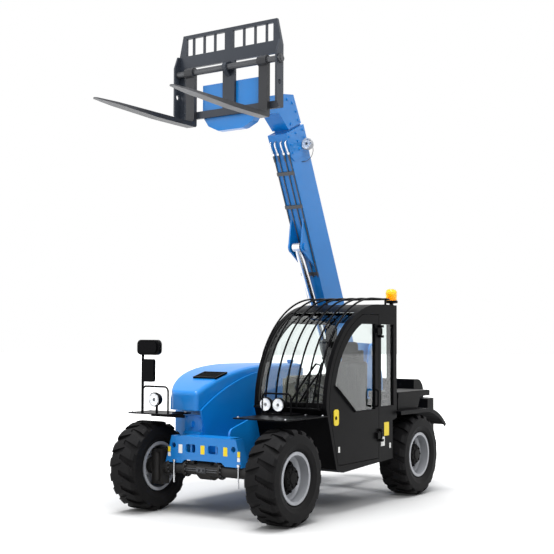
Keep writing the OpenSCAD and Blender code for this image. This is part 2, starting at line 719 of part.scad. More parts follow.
module lift_barrel() {
  color("silver") in_lift() difference() {
    union() {
      translate([48, 0, 0]) rotate([0, 90, 0]) cylinder(r = 55, h = barrel_len - 48);
      translate([barrel_len - 80, 0, 0]) rotate([0, 90, 0]) cylinder(r = 61, h = 80);
      cross(0, 0, 60, -60, 60);
    }
    translate([95, 0, 0]) rotate([0, 90, 0]) cylinder(r = rod_r + run_gap, h = barrel_len);
    cross(0, 0, lift_pin_r + run_gap, -61, 61);
  }
}
module lift_rod() {
  color("gainsboro") in_lift() difference() {
    union() {
      translate([lift_len - rod_len, 0, 0]) rotate([0, 90, 0]) cylinder(r = rod_r, h = rod_len - 25);
      cross(lift_len, 0, 48, -45, 45);
    }
    cross(lift_len, 0, lift_pin_r, -46, 46);
  }
}

// Head, coupler and forks
module head_pin() {
  color("silver") in_carriage() cross(0, 0, head_pin_r, -145, 145);
}
// The quick hitch: two cheeks on the head pin and a wide channel beam whose floor drops to a boat shape
module coupler() {
  back = shank_x - 31;
  half = 330;
  color("royalblue") in_carriage() difference() {
    union() {
      for (y = [-133, 108]) slab(y, y + 25)
        polygon(concat(arc(0, 0, 75, 100, 260, 12), [[60, -150], [back, -150], [back, 165], [80, 150]]));
      intersection() {
        slab(-half, half) polygon([[back, 215], [back - 40, 215], [back - 60, 190], [back - 60, 165],
          [back - 22, 165], [back - 22, -80], [back - 90, -150], [back - 90, -236],
          [back - 72, -245], [back, -245]]);
        translate([back - 100, 0, 0]) rotate([90, 0, 90]) linear_extrude(110)
          polygon([[-half, -90], [-half + 70, -190], [-half + 190, -246], [half - 190, -246],
            [half - 70, -190], [half, -90], [half, 216], [-half, 216]]);
      }
    }
    cross(0, 0, head_pin_r + run_gap, -134, 134);
  }
}
bar_top = 729;
shaft_r = 30;
shaft_x = shank_x + 34;
shaft_z = 338;
module fork_carriage() {
  half = carriage_w / 2;
  back = shank_x - 31;
  face = shank_x - 1;
  color("#3a3d40") in_carriage() difference() {
    union() {
      translate([back, 0, 0]) rotate([90, 0, 90]) linear_extrude(face - back) difference() {
        polygon([[-half, -110], [half, -110], [half, 480], [half - 55, bar_top], [55 - half, bar_top],
          [-half, 480]]);
        for (s = [-1, 1]) scale([s, 1]) {
          polygon([[70, -40], [half - 75, -40], [half - 75, 403], [70, 403]]);
          for (i = [0:3]) translate([48 + i * 130, 525])
            square([i == 3 ? 76 : 118, bar_top - 560]);
        }
      }
      for (s = [-1, 1]) scale([1, s, 1]) slab(half - 18, half)
        polygon([[face - 1, -110], [face + 45, -110], [face + 80, -60], [face + 80, 400], [face + 30, 520],
          [face - 1, 520]]);
      slab(-22, 22) polygon(concat([[face - 1, 260], [face + 10, 260]],
        arc(shaft_x, shaft_z, 48, -50, 80, 6), [[face - 1, 400]]));
    }
    cross(shaft_x, shaft_z, shaft_r + run_gap, -half - 1, half + 1);
    for (s = [-1, 1]) cross(shaft_x, 120, 24, s * half - 30, s * half + 30);
  }
}
module fork_shaft() {
  half = carriage_w / 2;
  color("silver") in_carriage() {
    cross(shaft_x, shaft_z, shaft_r, -half - 10, half + 30);
    translate([shaft_x, half + 1, shaft_z]) rotate([-90, 0, 0]) cylinder(r = 44, h = 24, $fn = 6);
  }
}
// A forged fork: a shank with an eye over the shaft, and a blade that thins and narrows to its tip
module fork(side) {
  heel = shank_x + fork_t;
  blade_z = fork_t - fork_drop;
  tip = heel + fork_len;
  color("#3a3d40") in_carriage() translate([0, side * fork_gap / 2, 0]) difference() {
    union() {
      intersection() {
        slab(-fork_w / 2, fork_w / 2) polygon(concat([[shank_x, 300]],
          arc(shank_x + 25, 25 - fork_drop, 25, 180, 270, 5),
          [[heel + 500, -fork_drop], [tip, blade_z - 10], [tip, blade_z]],
          arc(heel + 40, blade_z + 40, 40, 270, 180, 5), [[heel, 300]]));
        translate([0, 0, -fork_drop - 1]) linear_extrude(fork_drop + 302)
          polygon(concat([[shank_x - 1, fork_w / 2], [shank_x - 1, -fork_w / 2], [tip - 260, -fork_w / 2]],
            arc(tip - 25, 0, 25, -70, 70, 6), [[tip - 260, fork_w / 2]]));
      }
      slab(-fork_w / 2, fork_w / 2) polygon(concat([[shank_x, 290], [heel, 290]],
        arc(shaft_x, shaft_z, 50, -40, 132, 12), [[shank_x, 370]]));
    }
    cross(shaft_x, shaft_z, shaft_r + run_gap, -fork_w, fork_w);
  }
}

place() chassis_frame();
place() front_bumper();
place() front_shield();
place() counterweight();
place() boom_pivot_pin();
place() axle(wheelbase);  // front_axle
place() axle(0);  // rear_axle
place() knuckle(wheelbase, 1);  // knuckle_front_left
place() knuckle(wheelbase, -1);  // knuckle_front_right
place() knuckle(0, 1);  // knuckle_rear_left
place() knuckle(0, -1);  // knuckle_rear_right
place() rim(wheelbase, 1);  // rim_front_left
place() rim(wheelbase, -1);  // rim_front_right
place() rim(0, 1);  // rim_rear_left
place() rim(0, -1);  // rim_rear_right
place() tyre(wheelbase, 1);  // tyre_front_left
place() tyre(wheelbase, -1);  // tyre_front_right
place() tyre(0, 1);  // tyre_rear_left
place() tyre(0, -1);  // tyre_rear_right
place() engine_bay();
place() engine();
place() hood();
place() hood_vent();
place() {
  cab_shell();
  color("silver") door_hinge_pins();
}
place() cab_roof();
place() windscreen();
place() cab_glass();
place() windscreen_guard();
place() door();
place() door_glass();
place() seat();
place() dash();
place() steering_wheel();
place() front_lamps();
place() front_fender();
place() mirrors();
place() rear_fenders();
place() tank_box();
place() beacon();
place() boom_outer();
place() boom_tubes();
place() boom_lamp();
place() boom_inner();
place() head_lamp();
place() lift_barrel();
place() lift_rod();
place() head_pin();
place() coupler();
place() fork_carriage();
place() fork_shaft();
place() fork(1);  // fork_left
place() fork(-1);  // fork_right
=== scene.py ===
import math

import bpy
from mathutils import Matrix, Vector


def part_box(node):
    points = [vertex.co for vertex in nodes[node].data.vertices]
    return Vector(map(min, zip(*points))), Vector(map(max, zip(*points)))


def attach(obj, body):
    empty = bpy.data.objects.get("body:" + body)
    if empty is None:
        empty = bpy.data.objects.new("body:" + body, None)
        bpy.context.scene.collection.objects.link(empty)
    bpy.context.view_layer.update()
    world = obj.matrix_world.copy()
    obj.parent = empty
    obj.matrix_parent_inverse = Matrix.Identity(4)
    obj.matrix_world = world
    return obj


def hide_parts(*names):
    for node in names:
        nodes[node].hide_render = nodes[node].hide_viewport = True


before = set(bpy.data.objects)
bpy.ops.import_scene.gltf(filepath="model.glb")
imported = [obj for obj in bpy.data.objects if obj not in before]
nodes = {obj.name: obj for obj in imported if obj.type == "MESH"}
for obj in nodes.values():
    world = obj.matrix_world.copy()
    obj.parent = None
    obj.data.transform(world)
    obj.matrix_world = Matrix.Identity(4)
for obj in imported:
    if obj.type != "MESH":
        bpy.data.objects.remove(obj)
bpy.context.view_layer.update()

# The studio: a white floor that runs back out of sight, a soft key light over
# the machine's front left, a fill from its other side and an even white room.
bpy.context.scene.view_settings.view_transform = "Standard"


def deselect():
    bpy.ops.object.select_all(action="DESELECT")


def area_light(name, place, target, size, watts):
    deselect()
    bpy.ops.object.light_add(type="AREA", location=place)
    light = bpy.context.object
    light.name = name
    light.data.energy = watts
    light.data.size = size
    light.rotation_euler = (Vector(target) - Vector(place)).to_track_quat("-Z", "Y").to_euler()


def math_node(tree, operation):
    node = tree.nodes.new("ShaderNodeMath")
    node.operation = operation
    return node


def wire(tree, *links):
    """Links nodes, each link as (from node, its output, to node, its input)."""
    for source, output, target, entry in links:
        tree.links.new(source.outputs[output], target.inputs[entry])


def shows_background(tree):
    """Gives 1 for rays from the camera, off metal or through glass, which should meet plain white."""
    path = tree.nodes.new("ShaderNodeLightPath")
    direct, through = math_node(tree, "MAXIMUM"), math_node(tree, "MAXIMUM")
    wire(tree, (path, "Is Camera Ray", direct, 0), (path, "Is Glossy Ray", direct, 1),
         (direct, "Value", through, 0), (path, "Is Transmission Ray", through, 1))
    return through


area_light("key_light", (7.0, 6.5, 8.5), (0.0, 0.0, 1.6), 5.0, 680)
area_light("fill_light", (6.0, -7.0, 5.0), (0.0, 0.0, 1.5), 6.0, 220)
area_light("back_light", (-7.0, 1.0, 6.0), (0.0, 0.0, 1.8), 5.0, 150)
deselect()
bpy.ops.object.light_add(type="SUN", location=(0.8, 0.3, 12.0))
top_light = bpy.context.object
top_light.name = "top_light"
top_light.data.energy = 4.4
top_light.data.angle = math.radians(34)
top_light.rotation_euler = (0.03, 0.09, 0.0)

room = bpy.data.worlds.new("white_room")
bpy.context.scene.world = room
room.use_nodes = True
room_tree = room.node_tree
room_tree.nodes.clear()
room_out = room_tree.nodes.new("ShaderNodeOutputWorld")
room_mix = room_tree.nodes.new("ShaderNodeMixShader")
white_wall = room_tree.nodes.new("ShaderNodeBackground")
white_wall.inputs["Color"].default_value = (1.0, 1.0, 1.0, 1.0)
soft_light = room_tree.nodes.new("ShaderNodeBackground")
soft_light.inputs["Color"].default_value = (0.96, 0.98, 1.0, 1.0)
sky_coords = room_tree.nodes.new("ShaderNodeTexCoord")
sky_axes = room_tree.nodes.new("ShaderNodeSeparateXYZ")
sky_fade = room_tree.nodes.new("ShaderNodeMapRange")
sky_fade.inputs["To Min"].default_value = 0.10
sky_fade.inputs["To Max"].default_value = 0.95
wire(room_tree,
     (sky_coords, "Generated", sky_axes, "Vector"), (sky_axes, "Z", sky_fade, "Value"),
     (sky_fade, "Result", soft_light, "Strength"), (shows_background(room_tree), "Value", room_mix, "Fac"),
     (soft_light, "Background", room_mix, 1), (white_wall, "Background", room_mix, 2),
     (room_mix, "Shader", room_out, "Surface"))

deselect()
bpy.ops.mesh.primitive_circle_add(vertices=96, radius=90.0, fill_type="NGON", location=(0.0, 0.0, -0.002))
floor = bpy.context.object
floor.name = "studio_floor"
bpy.ops.object.transform_apply(location=True, rotation=True, scale=True)
white_floor = bpy.data.materials.new("white_floor")
white_floor.use_nodes = True
floor_tree = white_floor.node_tree
floor_surface = floor_tree.nodes["Principled BSDF"]
floor_surface.inputs["Base Color"].default_value = (0.44, 0.44, 0.44, 1.0)
floor_surface.inputs["Roughness"].default_value = 1.0
floor_surface.inputs["Specular IOR Level"].default_value = 0.0
floor_glow = floor_tree.nodes.new("ShaderNodeEmission")
floor_coords = floor_tree.nodes.new("ShaderNodeTexCoord")
floor_reach = floor_tree.nodes.new("ShaderNodeVectorMath")
floor_reach.operation = "LENGTH"
floor_rise = floor_tree.nodes.new("ShaderNodeMapRange")
floor_rise.inputs["From Min"].default_value = 1.6
floor_rise.inputs["From Max"].default_value = 5.0
floor_rise.inputs["To Min"].default_value = 0.02
floor_rise.inputs["To Max"].default_value = 0.85
floor_white = math_node(floor_tree, "MULTIPLY")
floor_sum = floor_tree.nodes.new("ShaderNodeAddShader")
wire(floor_tree,
     (floor_coords, "Object", floor_reach, 0), (floor_reach, "Value", floor_rise, "Value"),
     (floor_rise, "Result", floor_white, 0), (shows_background(floor_tree), "Value", floor_white, 1),
     (floor_white, "Value", floor_glow, "Strength"), (floor_surface, "BSDF", floor_sum, 0),
     (floor_glow, "Emission", floor_sum, 1),
     (floor_sum, "Shader", floor_tree.nodes["Material Output"], "Surface"))
floor.data.materials.append(white_floor)

# The camera stands ahead of the machine's left front wheel at eye height,
# with a long lens, and looks a little up at the raised boom.
eye = Vector((8.907, 5.898, 1.637))
yaw, pitch, roll = math.radians(214.754), math.radians(2.55), math.radians(0.259)
ahead = Vector((math.cos(pitch) * math.cos(yaw), math.cos(pitch) * math.sin(yaw), math.sin(pitch)))
across = Vector((math.sin(yaw), -math.cos(yaw), 0.0))
upward = across.cross(ahead)
right = math.cos(roll) * across + math.sin(roll) * upward
up = -math.sin(roll) * across + math.cos(roll) * upward
deselect()
bpy.ops.object.camera_add()
camera = bpy.context.object
camera.name = "front_left_camera"
camera.matrix_world = Matrix((
    (right.x, up.x, -ahead.x, eye.x),
    (right.y, up.y, -ahead.y, eye.y),
    (right.z, up.z, -ahead.z, eye.z),
    (0.0, 0.0, 0.0, 1.0)))
camera.data.sensor_width = 36.0
camera.data.lens = 69.25
camera.data.shift_x = 0.0281
camera.data.shift_y = 0.0212
bpy.context.scene.camera = camera

# The chassis: two long plates, flame cut and welded to a floor, that carry all
# the rest. They are sprayed with a blue gloss that greys with dust low down.
rear_axle_x = (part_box("tyre_rear_left")[0][0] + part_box("tyre_rear_left")[1][0]) / 2


def at(x, y, z):
    """A point in millimetres ahead of the rear axle, left of the middle and above the ground."""
    return Vector((rear_axle_x + x / 1000, y / 1000, z / 1000))


def make_group(name, inputs, outputs):
    group = bpy.data.node_groups.new(name, "ShaderNodeTree")
    for label, default in inputs:
        socket = group.interface.new_socket(label, in_out="INPUT", socket_type="NodeSocketFloat")
        socket.default_value = default
    for label in outputs:
        group.interface.new_socket(label, in_out="OUTPUT", socket_type="NodeSocketFloat")
    return group, group.nodes.new("NodeGroupInput"), group.nodes.new("NodeGroupOutput")


grain, grain_in, grain_out = make_group(
    "surface_grain", [("Patch Scale", 3.0), ("Grain Scale", 180.0)], ["Patches", "Grain"])
coords = grain.nodes.new("ShaderNodeTexCoord")
patches = grain.nodes.new("ShaderNodeTexNoise")
patches.inputs["Detail"].default_value = 5.0
fine = grain.nodes.new("ShaderNodeTexNoise")
fine.inputs["Detail"].default_value = 2.0
wire(grain,
     (coords, "Object", patches, "Vector"), (coords, "Object", fine, "Vector"),
     (grain_in, "Patch Scale", patches, "Scale"), (grain_in, "Grain Scale", fine, "Scale"),
     (patches, "Fac", grain_out, "Patches"), (fine, "Fac", grain_out, "Grain"))

dust, dust_in, dust_out = make_group("road_dust", [("Height", 0.7), ("Amount", 0.5)], ["Dust"])
coords = dust.nodes.new("ShaderNodeTexCoord")
axes = dust.nodes.new("ShaderNodeSeparateXYZ")
fade = dust.nodes.new("ShaderNodeMapRange")
fade.inputs["From Min"].default_value = 0.0
fade.inputs["To Min"].default_value = 1.0
fade.inputs["To Max"].default_value = 0.0
specks = dust.nodes.new("ShaderNodeTexNoise")
specks.inputs["Scale"].default_value = 9.0
specks.inputs["Detail"].default_value = 6.0
mottle, scaled = math_node(dust, "MULTIPLY"), math_node(dust, "MULTIPLY")
wire(dust,
     (coords, "Object", axes, "Vector"), (coords, "Object", specks, "Vector"), (axes, "Z", fade, "Value"),
     (dust_in, "Height", fade, "From Max"), (fade, "Result", mottle, 0), (specks, "Fac", mottle, 1),
     (mottle, "Value", scaled, 0), (dust_in, "Amount", scaled, 1), (scaled, "Value", dust_out, "Dust"))


def finish(name, light_tone, dark_tone, rough, spread, metallic=0.0, coat=0.0, bump=0.0005, patch=3.0,
           grain_scale=180.0, dust_amount=0.0, dust_height=0.8, specular=0.3):
    """A surface in two tones in soft patches, with uneven gloss, a fine grain and dust low down."""
    material = bpy.data.materials.new(name)
    material.use_nodes = True
    tree = material.node_tree
    surface = tree.nodes["Principled BSDF"]
    surface.inputs["Metallic"].default_value = metallic
    surface.inputs["Specular IOR Level"].default_value = specular
    surface.inputs["Coat Weight"].default_value = coat
    surface.inputs["Coat Roughness"].default_value = 0.12
    texture = tree.nodes.new("ShaderNodeGroup")
    texture.node_tree = grain
    texture.inputs["Patch Scale"].default_value = patch
    texture.inputs["Grain Scale"].default_value = grain_scale
    tones = tree.nodes.new("ShaderNodeMix")
    tones.data_type = "RGBA"
    tones.inputs["A"].default_value = (*dark_tone, 1.0)
    tones.inputs["B"].default_value = (*light_tone, 1.0)
    colour = tones
    if dust_amount:
        film = tree.nodes.new("ShaderNodeGroup")
        film.node_tree = dust
        film.inputs["Height"].default_value = dust_height
        film.inputs["Amount"].default_value = dust_amount
        dusty = tree.nodes.new("ShaderNodeMix")
        dusty.data_type = "RGBA"
        dusty.inputs["B"].default_value = (0.30, 0.27, 0.23, 1.0)
        wire(tree, (film, "Dust", dusty, "Factor"), (tones, "Result", dusty, "A"))
        colour = dusty
    gloss = tree.nodes.new("ShaderNodeMapRange")
    gloss.inputs["To Min"].default_value = rough - spread
    gloss.inputs["To Max"].default_value = rough + spread
    relief = tree.nodes.new("ShaderNodeBump")
    relief.inputs["Strength"].default_value = 0.35
    relief.inputs["Distance"].default_value = bump
    wire(tree, (texture, "Patches", tones, "Factor"), (colour, "Result", surface, "Base Color"),
         (texture, "Patches", gloss, "Value"), (gloss, "Result", surface, "Roughness"),
         (texture, "Grain", relief, "Height"), (relief, "Normal", surface, "Normal"))
    return material


def coat(material, *names):
    for name in names:
        for place in nodes[name].material_slots:
            place.material = material


blue_paint = finish("blue_paint", (0.002, 0.182, 0.54), (0.002, 0.150, 0.46), 0.30, 0.06, coat=0.06,
                    dust_amount=0.08, specular=0.38)
bright_steel = finish("bright_steel", (0.66, 0.67, 0.69), (0.52, 0.53, 0.55), 0.22, 0.08, metallic=1.0)
coat(blue_paint, "chassis_frame")
coat(bright_steel, "boom_pivot_pin")


# The front bumper: a thick steel plate with tow holes and folded ends. Bare
# plates are stuck on its face, and two bright feeler rods hang from its foot.
def cube(name, low, high):
    low, high = at(*low), at(*high)
    deselect()
    bpy.ops.mesh.primitive_cube_add(size=1.0, location=(low + high) / 2)
    piece = bpy.context.object
    piece.name = name
    piece.scale = high - low
    bpy.ops.object.transform_apply(location=True, rotation=True, scale=True)
    return piece


def edit_all():
    bpy.ops.object.mode_set(mode="EDIT")
    bpy.ops.mesh.select_all(action="SELECT")


def block(name, low, high, edge, segments=2):
    """A block from its low to its high corner in millimetres, with all its edges rounded."""
    piece = cube(name, low, high)
    edit_all()
    bpy.ops.mesh.bevel(offset=edge / 1000, segments=segments, affect="EDGES")
    bpy.ops.object.mode_set(mode="OBJECT")
    bpy.ops.object.shade_smooth_by_angle(angle=math.radians(40))
    return piece


def clear_selection(mesh):
    for group in (mesh.vertices, mesh.edges, mesh.polygons):
        for element in group:
            element.select = False


def plate(name, low, high, axis, corner):
    """A flat plate with round corners, seen along one axis (0, 1 or 2)."""
    piece = cube(name, low, high)
    clear_selection(piece.data)
    for edge in piece.data.edges:
        a, b = (piece.data.vertices[i].co for i in edge.vertices)
        edge.select = abs((b - a).normalized()[axis]) > 0.9
    bpy.context.tool_settings.mesh_select_mode = (False, True, False)
    bpy.ops.object.mode_set(mode="EDIT")
    bpy.ops.mesh.bevel(offset=corner / 1000, segments=5, affect="EDGES")
    bpy.ops.object.mode_set(mode="OBJECT")
    bpy.ops.object.shade_smooth_by_angle(angle=math.radians(40))
    return piece


def pick(piece):
    """Makes a piece the active one, and the only one selected."""
    deselect()
    piece.select_set(True)
    bpy.context.view_layer.objects.active = piece


def join(name, pieces):
    pick(pieces[0])
    for piece in pieces[1:]:
        piece.select_set(True)
    bpy.ops.object.join()
    pieces[0].name = name
    return pieces[0]


def fit(piece, material, body):
    """Gives a piece its material, and sets it on the body that it moves with."""
    piece.data.materials.clear()
    piece.data.materials.append(material)
    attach(piece, body)
    return piece


def turned(name, profile, steps=40):
    """A turned part about the x axis: the profile runs as (distance along, radius) in millimetres."""
    deselect()
    bpy.ops.mesh.primitive_plane_add(size=0.01)
    piece = bpy.context.object
    piece.name = name
    bpy.context.tool_settings.mesh_select_mode = (True, False, False)
    edit_all()
    bpy.ops.mesh.merge(type="CENTER")
    bpy.ops.transform.translate(value=(profile[0][0] / 1000, 0.0, profile[0][1] / 1000))
    for (x0, r0), (x1, r1) in zip(profile, profile[1:]):
        bpy.ops.mesh.extrude_vertices_move(
            TRANSFORM_OT_translate={"value": ((x1 - x0) / 1000, 0.0, (r1 - r0) / 1000)})
    bpy.ops.mesh.select_all(action="SELECT")
    bpy.ops.mesh.spin(steps=steps, angle=2 * math.pi, center=(0.0, 0.0, 0.0), axis=(1.0, 0.0, 0.0))
    bpy.ops.mesh.select_all(action="SELECT")
    bpy.ops.mesh.remove_doubles(threshold=1e-5)
    bpy.ops.mesh.normals_make_consistent(inside=False)
    bpy.ops.object.mode_set(mode="OBJECT")
    bpy.ops.object.shade_smooth_by_angle(angle=math.radians(35))
    return piece


def aim(piece, origin, direction):
    """Sets a piece that was made along the x axis at a place, pointing that way."""
    turn = Vector(direction).to_track_quat("X", "Z").to_matrix().to_4x4()
    piece.data.transform(Matrix.Translation(origin) @ turn)
    return piece


yellow_label = finish("yellow_label", (0.80, 0.62, 0.02), (0.72, 0.54, 0.02), 0.4, 0.06, grain_scale=400.0)
white_label = finish("white_label", (0.78, 0.78, 0.76), (0.70, 0.70, 0.68), 0.4, 0.06, grain_scale=400.0)
bumper_face = 2402
coat(blue_paint, "front_bumper")
yellow_spots = ((-118, -72, 560, 640), (140, 186, 560, 640), (296, 326, 560, 610), (-500, -470, 560, 610))
white_spots = ((-374, -330, 556, 636), (296, 326, 520, 556), (-500, -470, 520, 556))
for name, spots, label, slot in (("bumper_yellow_plates", yellow_spots, yellow_label, "yellow_plastic"),
                                 ("bumper_white_plates", white_spots, white_label, "rim_paint")):
    plates = [plate("bumper_plate", (bumper_face - 0.5, y0, z0), (bumper_face + 1.5, y1, z1), 0, 5)
              for y0, y1, z0, z1 in spots]
    fit(join(name, plates), label, "chassis")
feelers = []
for y in (-413, 322):
    feelers.append(block("feeler_clip", (bumper_face - 1, y - 14, 474), (bumper_face + 26, y + 14, 498), 4))
    rod = turned("feeler_rod", [(0, 0), (0, 5), (4, 8), (190, 8), (196, 6), (200, 0)], 16)
    feelers.append(aim(rod, at(bumper_face + 18, y, 286), (0.0, 0.0, 1.0)))
fit(join("feeler_rods", feelers), bright_steel, "chassis")


# The shield: a bent plate below the hood's nose, held by a row of hexagon
# bolts with washers.
def bolt(name, across, height):
    """A hexagon bolt's head on its washer, along the x axis from the origin."""
    deselect()
    bpy.ops.mesh.primitive_cylinder_add(
        vertices=6, radius=across / math.sqrt(3) / 1000, depth=height / 1000,
        location=(height / 2000 + 0.002, 0.0, 0.0), rotation=(0.0, math.pi / 2, 0.0))
    head = bpy.context.object
    bpy.ops.object.transform_apply(location=True, rotation=True, scale=True)
    edit_all()
    bpy.ops.mesh.bevel(offset=height * 0.00016, segments=1, affect="EDGES")
    bpy.ops.object.mode_set(mode="OBJECT")
    washer_r = across * 0.72
    washer = turned("washer", [(-1, 0), (-1, washer_r), (1.6, washer_r), (2.2, across * 0.66), (2.2, 0)], 18)
    return join(name, [head, washer])


def spread(source, name, places):
    """Copies a piece to each (origin, direction), every copy with its own mesh, as one piece."""
    copies = []
    for origin, direction in places:
        copy = source.copy()
        copy.data = source.data.copy()
        bpy.context.collection.objects.link(copy)
        copies.append(aim(copy, origin, direction))
    bpy.data.objects.remove(source)
    return join(name, copies)


coat(blue_paint, "front_shield")
shield_face = 2202
fit(spread(bolt("shield_bolt", 16, 9), "shield_bolts",
           [(at(shield_face, y, z), (1, 0, 0)) for y in (-445, -275) for z in (760, 870)]),
    blue_paint, "chassis")

# The counterweight: one cast block behind the pivot, with a tow slot and its
# pin, and lamps let into two recesses in its rear face.
red_lens = finish("red_lens", (0.42, 0.008, 0.006), (0.34, 0.005, 0.004), 0.18, 0.05, coat=0.6, bump=0.002,
                  grain_scale=120.0)
black_paint = finish("black_paint", (0.0045, 0.0045, 0.005), (0.0025, 0.0025, 0.003), 0.32, 0.08,
                     dust_amount=0.02, specular=0.035)
counterweight_back = -1000
tow_x = counterweight_back + 65
coat(black_paint, "counterweight")
tail_lenses = []
tail_cases = []
for y in (-400, 400):
    tail_cases.append(block("tail_lamp_case", (counterweight_back + 14, y - 86, 794),
                            (counterweight_back + 38, y + 86, 876), 6))
    for step in (-54, 0, 54):
        tail_lenses.append(block("tail_lens", (counterweight_back + 2, y + step - 24, 802),
                                 (counterweight_back + 20, y + step + 24, 868), 5, 3))
fit(join("tail_lamp_cases", tail_cases), black_paint, "chassis")
fit(join("tail_lamp_lenses", tail_lenses), red_lens, "chassis")
tow_pin = turned("tow_pin", [(0, 0), (4, 12), (12, 15), (222, 15), (222, 27), (236, 27), (240, 23), (240, 9),
                             (262, 9), (266, 0)], 28)
aim(tow_pin, at(tow_x, 0, 478), (0.0, 0.0, 1.0))
tow_handle = turned("tow_handle", [(-46, 0), (-46, 6), (-42, 8), (42, 8), (46, 6), (46, 0)], 16)
aim(tow_handle, at(tow_x, 0, 735), (0.0, 1.0, 0.0))
fit(join("tow_pin", [tow_pin, tow_handle]), bright_steel, "chassis")

# The axles and knuckles: castings in black chassis paint under road dirt. Bolted
# flanges join each axle's tubes to its case, and steel pipes run along its face.
axle_paint = finish("axle_paint", (0.010, 0.010, 0.011), (0.006, 0.006, 0.006), 0.55, 0.10, bump=0.002,
                    dust_amount=0.12, specular=0.2)
coat(axle_paint, "front_axle", "rear_axle")
wheelbase, axle_z = 2360, 415.5
corners = {"front_left": (wheelbase, 1), "front_right": (wheelbase, -1),
           "rear_left": (0, 1), "rear_right": (0, -1)}
for corner in corners:
    coat(axle_paint, "knuckle_" + corner)
pipe_steel = finish("pipe_steel", (0.085, 0.088, 0.095), (0.05, 0.052, 0.056), 0.3, 0.08, metallic=0.5)
tube_r, flange_r, flange_half = 50, 74, 12
bolt_circle, flange_bolt_count = 0.062, 10


def spoke(degrees):
    """A step of one metre square to an axle, turned that far up from straight ahead."""
    return Vector((math.cos(math.radians(degrees)), 0.0, math.sin(math.radians(degrees))))


for axle, axle_x, facing in (("front", wheelbase, 1), ("rear", 0, -1)):
    flanges = []
    flange_bolts = []
    for y in (-500, -300, 100, 500):
        rim = [(-flange_half, tube_r - 2), (-flange_half, flange_r - 3), (3 - flange_half, flange_r),
               (flange_half - 3, flange_r), (flange_half, flange_r - 3), (flange_half, tube_r - 2),
               (-flange_half, tube_r - 2)]
        flanges.append(aim(turned("axle_flange", rim, 36), at(axle_x, y, axle_z), (0, 1, 0)))
        for i in range(flange_bolt_count):
            spot = at(axle_x, y + flange_half, axle_z) + spoke(i * 360 / flange_bolt_count) * bolt_circle
            flange_bolts.append((spot, (0, 1, 0)))
    fit(join(axle + "_axle_flanges", flanges), axle_paint, "chassis")
    fit(spread(bolt("flange_bolt", 12, 8), axle + "_axle_bolts", flange_bolts),
        pipe_steel, "chassis")
    face = axle_x + facing * tube_r
    fittings = [block("pipe_block", (min(face - 8, face + facing * 18), -150, axle_z - 22),
                      (max(face + 8, face + facing * 18), -50, axle_z + 26), 4)]
    for y in (-125, -75):
        nut = turned("block_union", [(0, 0), (0, 15), (3, 16.5), (20, 16.5), (23, 12), (23, 0)], 6)
        fittings.append(aim(nut, at(face + facing * 16, y, axle_z + 2), (facing, 0, 0)))
    for side, start, end in ((-1, -150, -284), (1, -50, 84)):
        for rise in (-8, 10):
            pipe = turned("axle_pipe", [(0, 0), (0, 5), (abs(end - start), 5), (abs(end - start), 0)], 12)
            fittings.append(aim(pipe, at(face + facing * 5, start, axle_z + rise), (0, side, 0)))
    fit(join(axle + "_axle_pipes", fittings), pipe_steel, "chassis")

# The wheels: rolled steel rims in silver paint with a black hub end cover, and
# lugged tyres of black rubber with pale dust low down. The cover's wide black
# flange and the black wheel nuts are partly painted shade: they darken the rim's
# dish, whose silver disc face lies deep in shade.
rim_paint = finish("rim_paint", (0.36, 0.37, 0.40), (0.28, 0.29, 0.31), 0.36, 0.08, metallic=0.3,
                   dust_amount=0.1)
tyre_rubber = finish("tyre_rubber", (0.0075, 0.0075, 0.0085), (0.004, 0.004, 0.0045), 0.58, 0.10, bump=0.003,
                     grain_scale=90.0, dust_amount=0.03, dust_height=1.0, specular=0.07)
wheel_y, bolt_step = 765, 45
cover_face, cover_circle = 0.092, 0.076
disc_face, nut_circle = 0.022, 0.132
for corner, (x, side) in corners.items():
    coat(rim_paint, "rim_" + corner)
    coat(tyre_rubber, "tyre_" + corner)
    hub = at(x, side * wheel_y, axle_z)
    outward = Vector((0.0, side, 0.0))
    # A real black hub cap, whose wide flange is painted shade over the rim's silver disc face.
    cover_and_dish_shade = turned("hub_cover_and_dish_shade", [(13, 156), (17, 156), (27, 124), (33, 112), (40, 105), (78, 104.5), (93, 90),
                                 (93, 62), (97, 56), (104, 50), (106, 0)], 48)
    cover_bolts = [(hub + outward * cover_face + spoke(angle) * cover_circle, outward)
                   for angle in range(0, 360, bolt_step)]
    heads = spread(bolt("hub_bolt", 17, 9), "hub_bolts", cover_bolts)
    fit(join("hub_cover_and_dish_shade_" + corner, [aim(cover_and_dish_shade, hub, outward), heads]),
        black_paint, "wheel_" + corner)
    # The wheel nuts are black as painted shade within the rim's dish.
    nuts = [(hub + outward * disc_face + spoke(angle + bolt_step / 2) * nut_circle, outward)
            for angle in range(0, 360, bolt_step)]
    fit(spread(bolt("wheel_nut", 27, 20), "wheel_nuts_" + corner, nuts),
        black_paint, "wheel_" + corner)

# The engine bay: welded sheet walls on the right, with a pressed service door
# held by two black turn latches. The engine inside is a cast block.
engine_paint = finish("engine_paint", (0.030, 0.030, 0.032), (0.018, 0.018, 0.018), 0.5, 0.1, bump=0.002,
                      dust_amount=0.2, dust_height=1.2)
coat(blue_paint, "engine_bay")
coat(engine_paint, "engine")
bay_side = -860
service_door = cube("service_door", (560, bay_side - 8, 470), (1790, bay_side + 2, 850))
clear_selection(service_door.data)
for face in service_door.data.polygons:
    face.select = face.normal.y < -0.9
bpy.context.tool_settings.mesh_select_mode = (False, False, True)
bpy.ops.object.mode_set(mode="EDIT")
bpy.ops.mesh.inset(thickness=0.06)
bpy.ops.mesh.inset(thickness=0.012, depth=-0.006)
bpy.ops.object.mode_set(mode="OBJECT")
rounding = service_door.modifiers.new("pressed_edges", "BEVEL")
rounding.width = 0.004
rounding.segments = 2
bpy.ops.object.modifier_apply(modifier="pressed_edges")
bpy.ops.object.shade_smooth_by_angle(angle=math.radians(40))
fit(service_door, blue_paint, "chassis")
latches = []
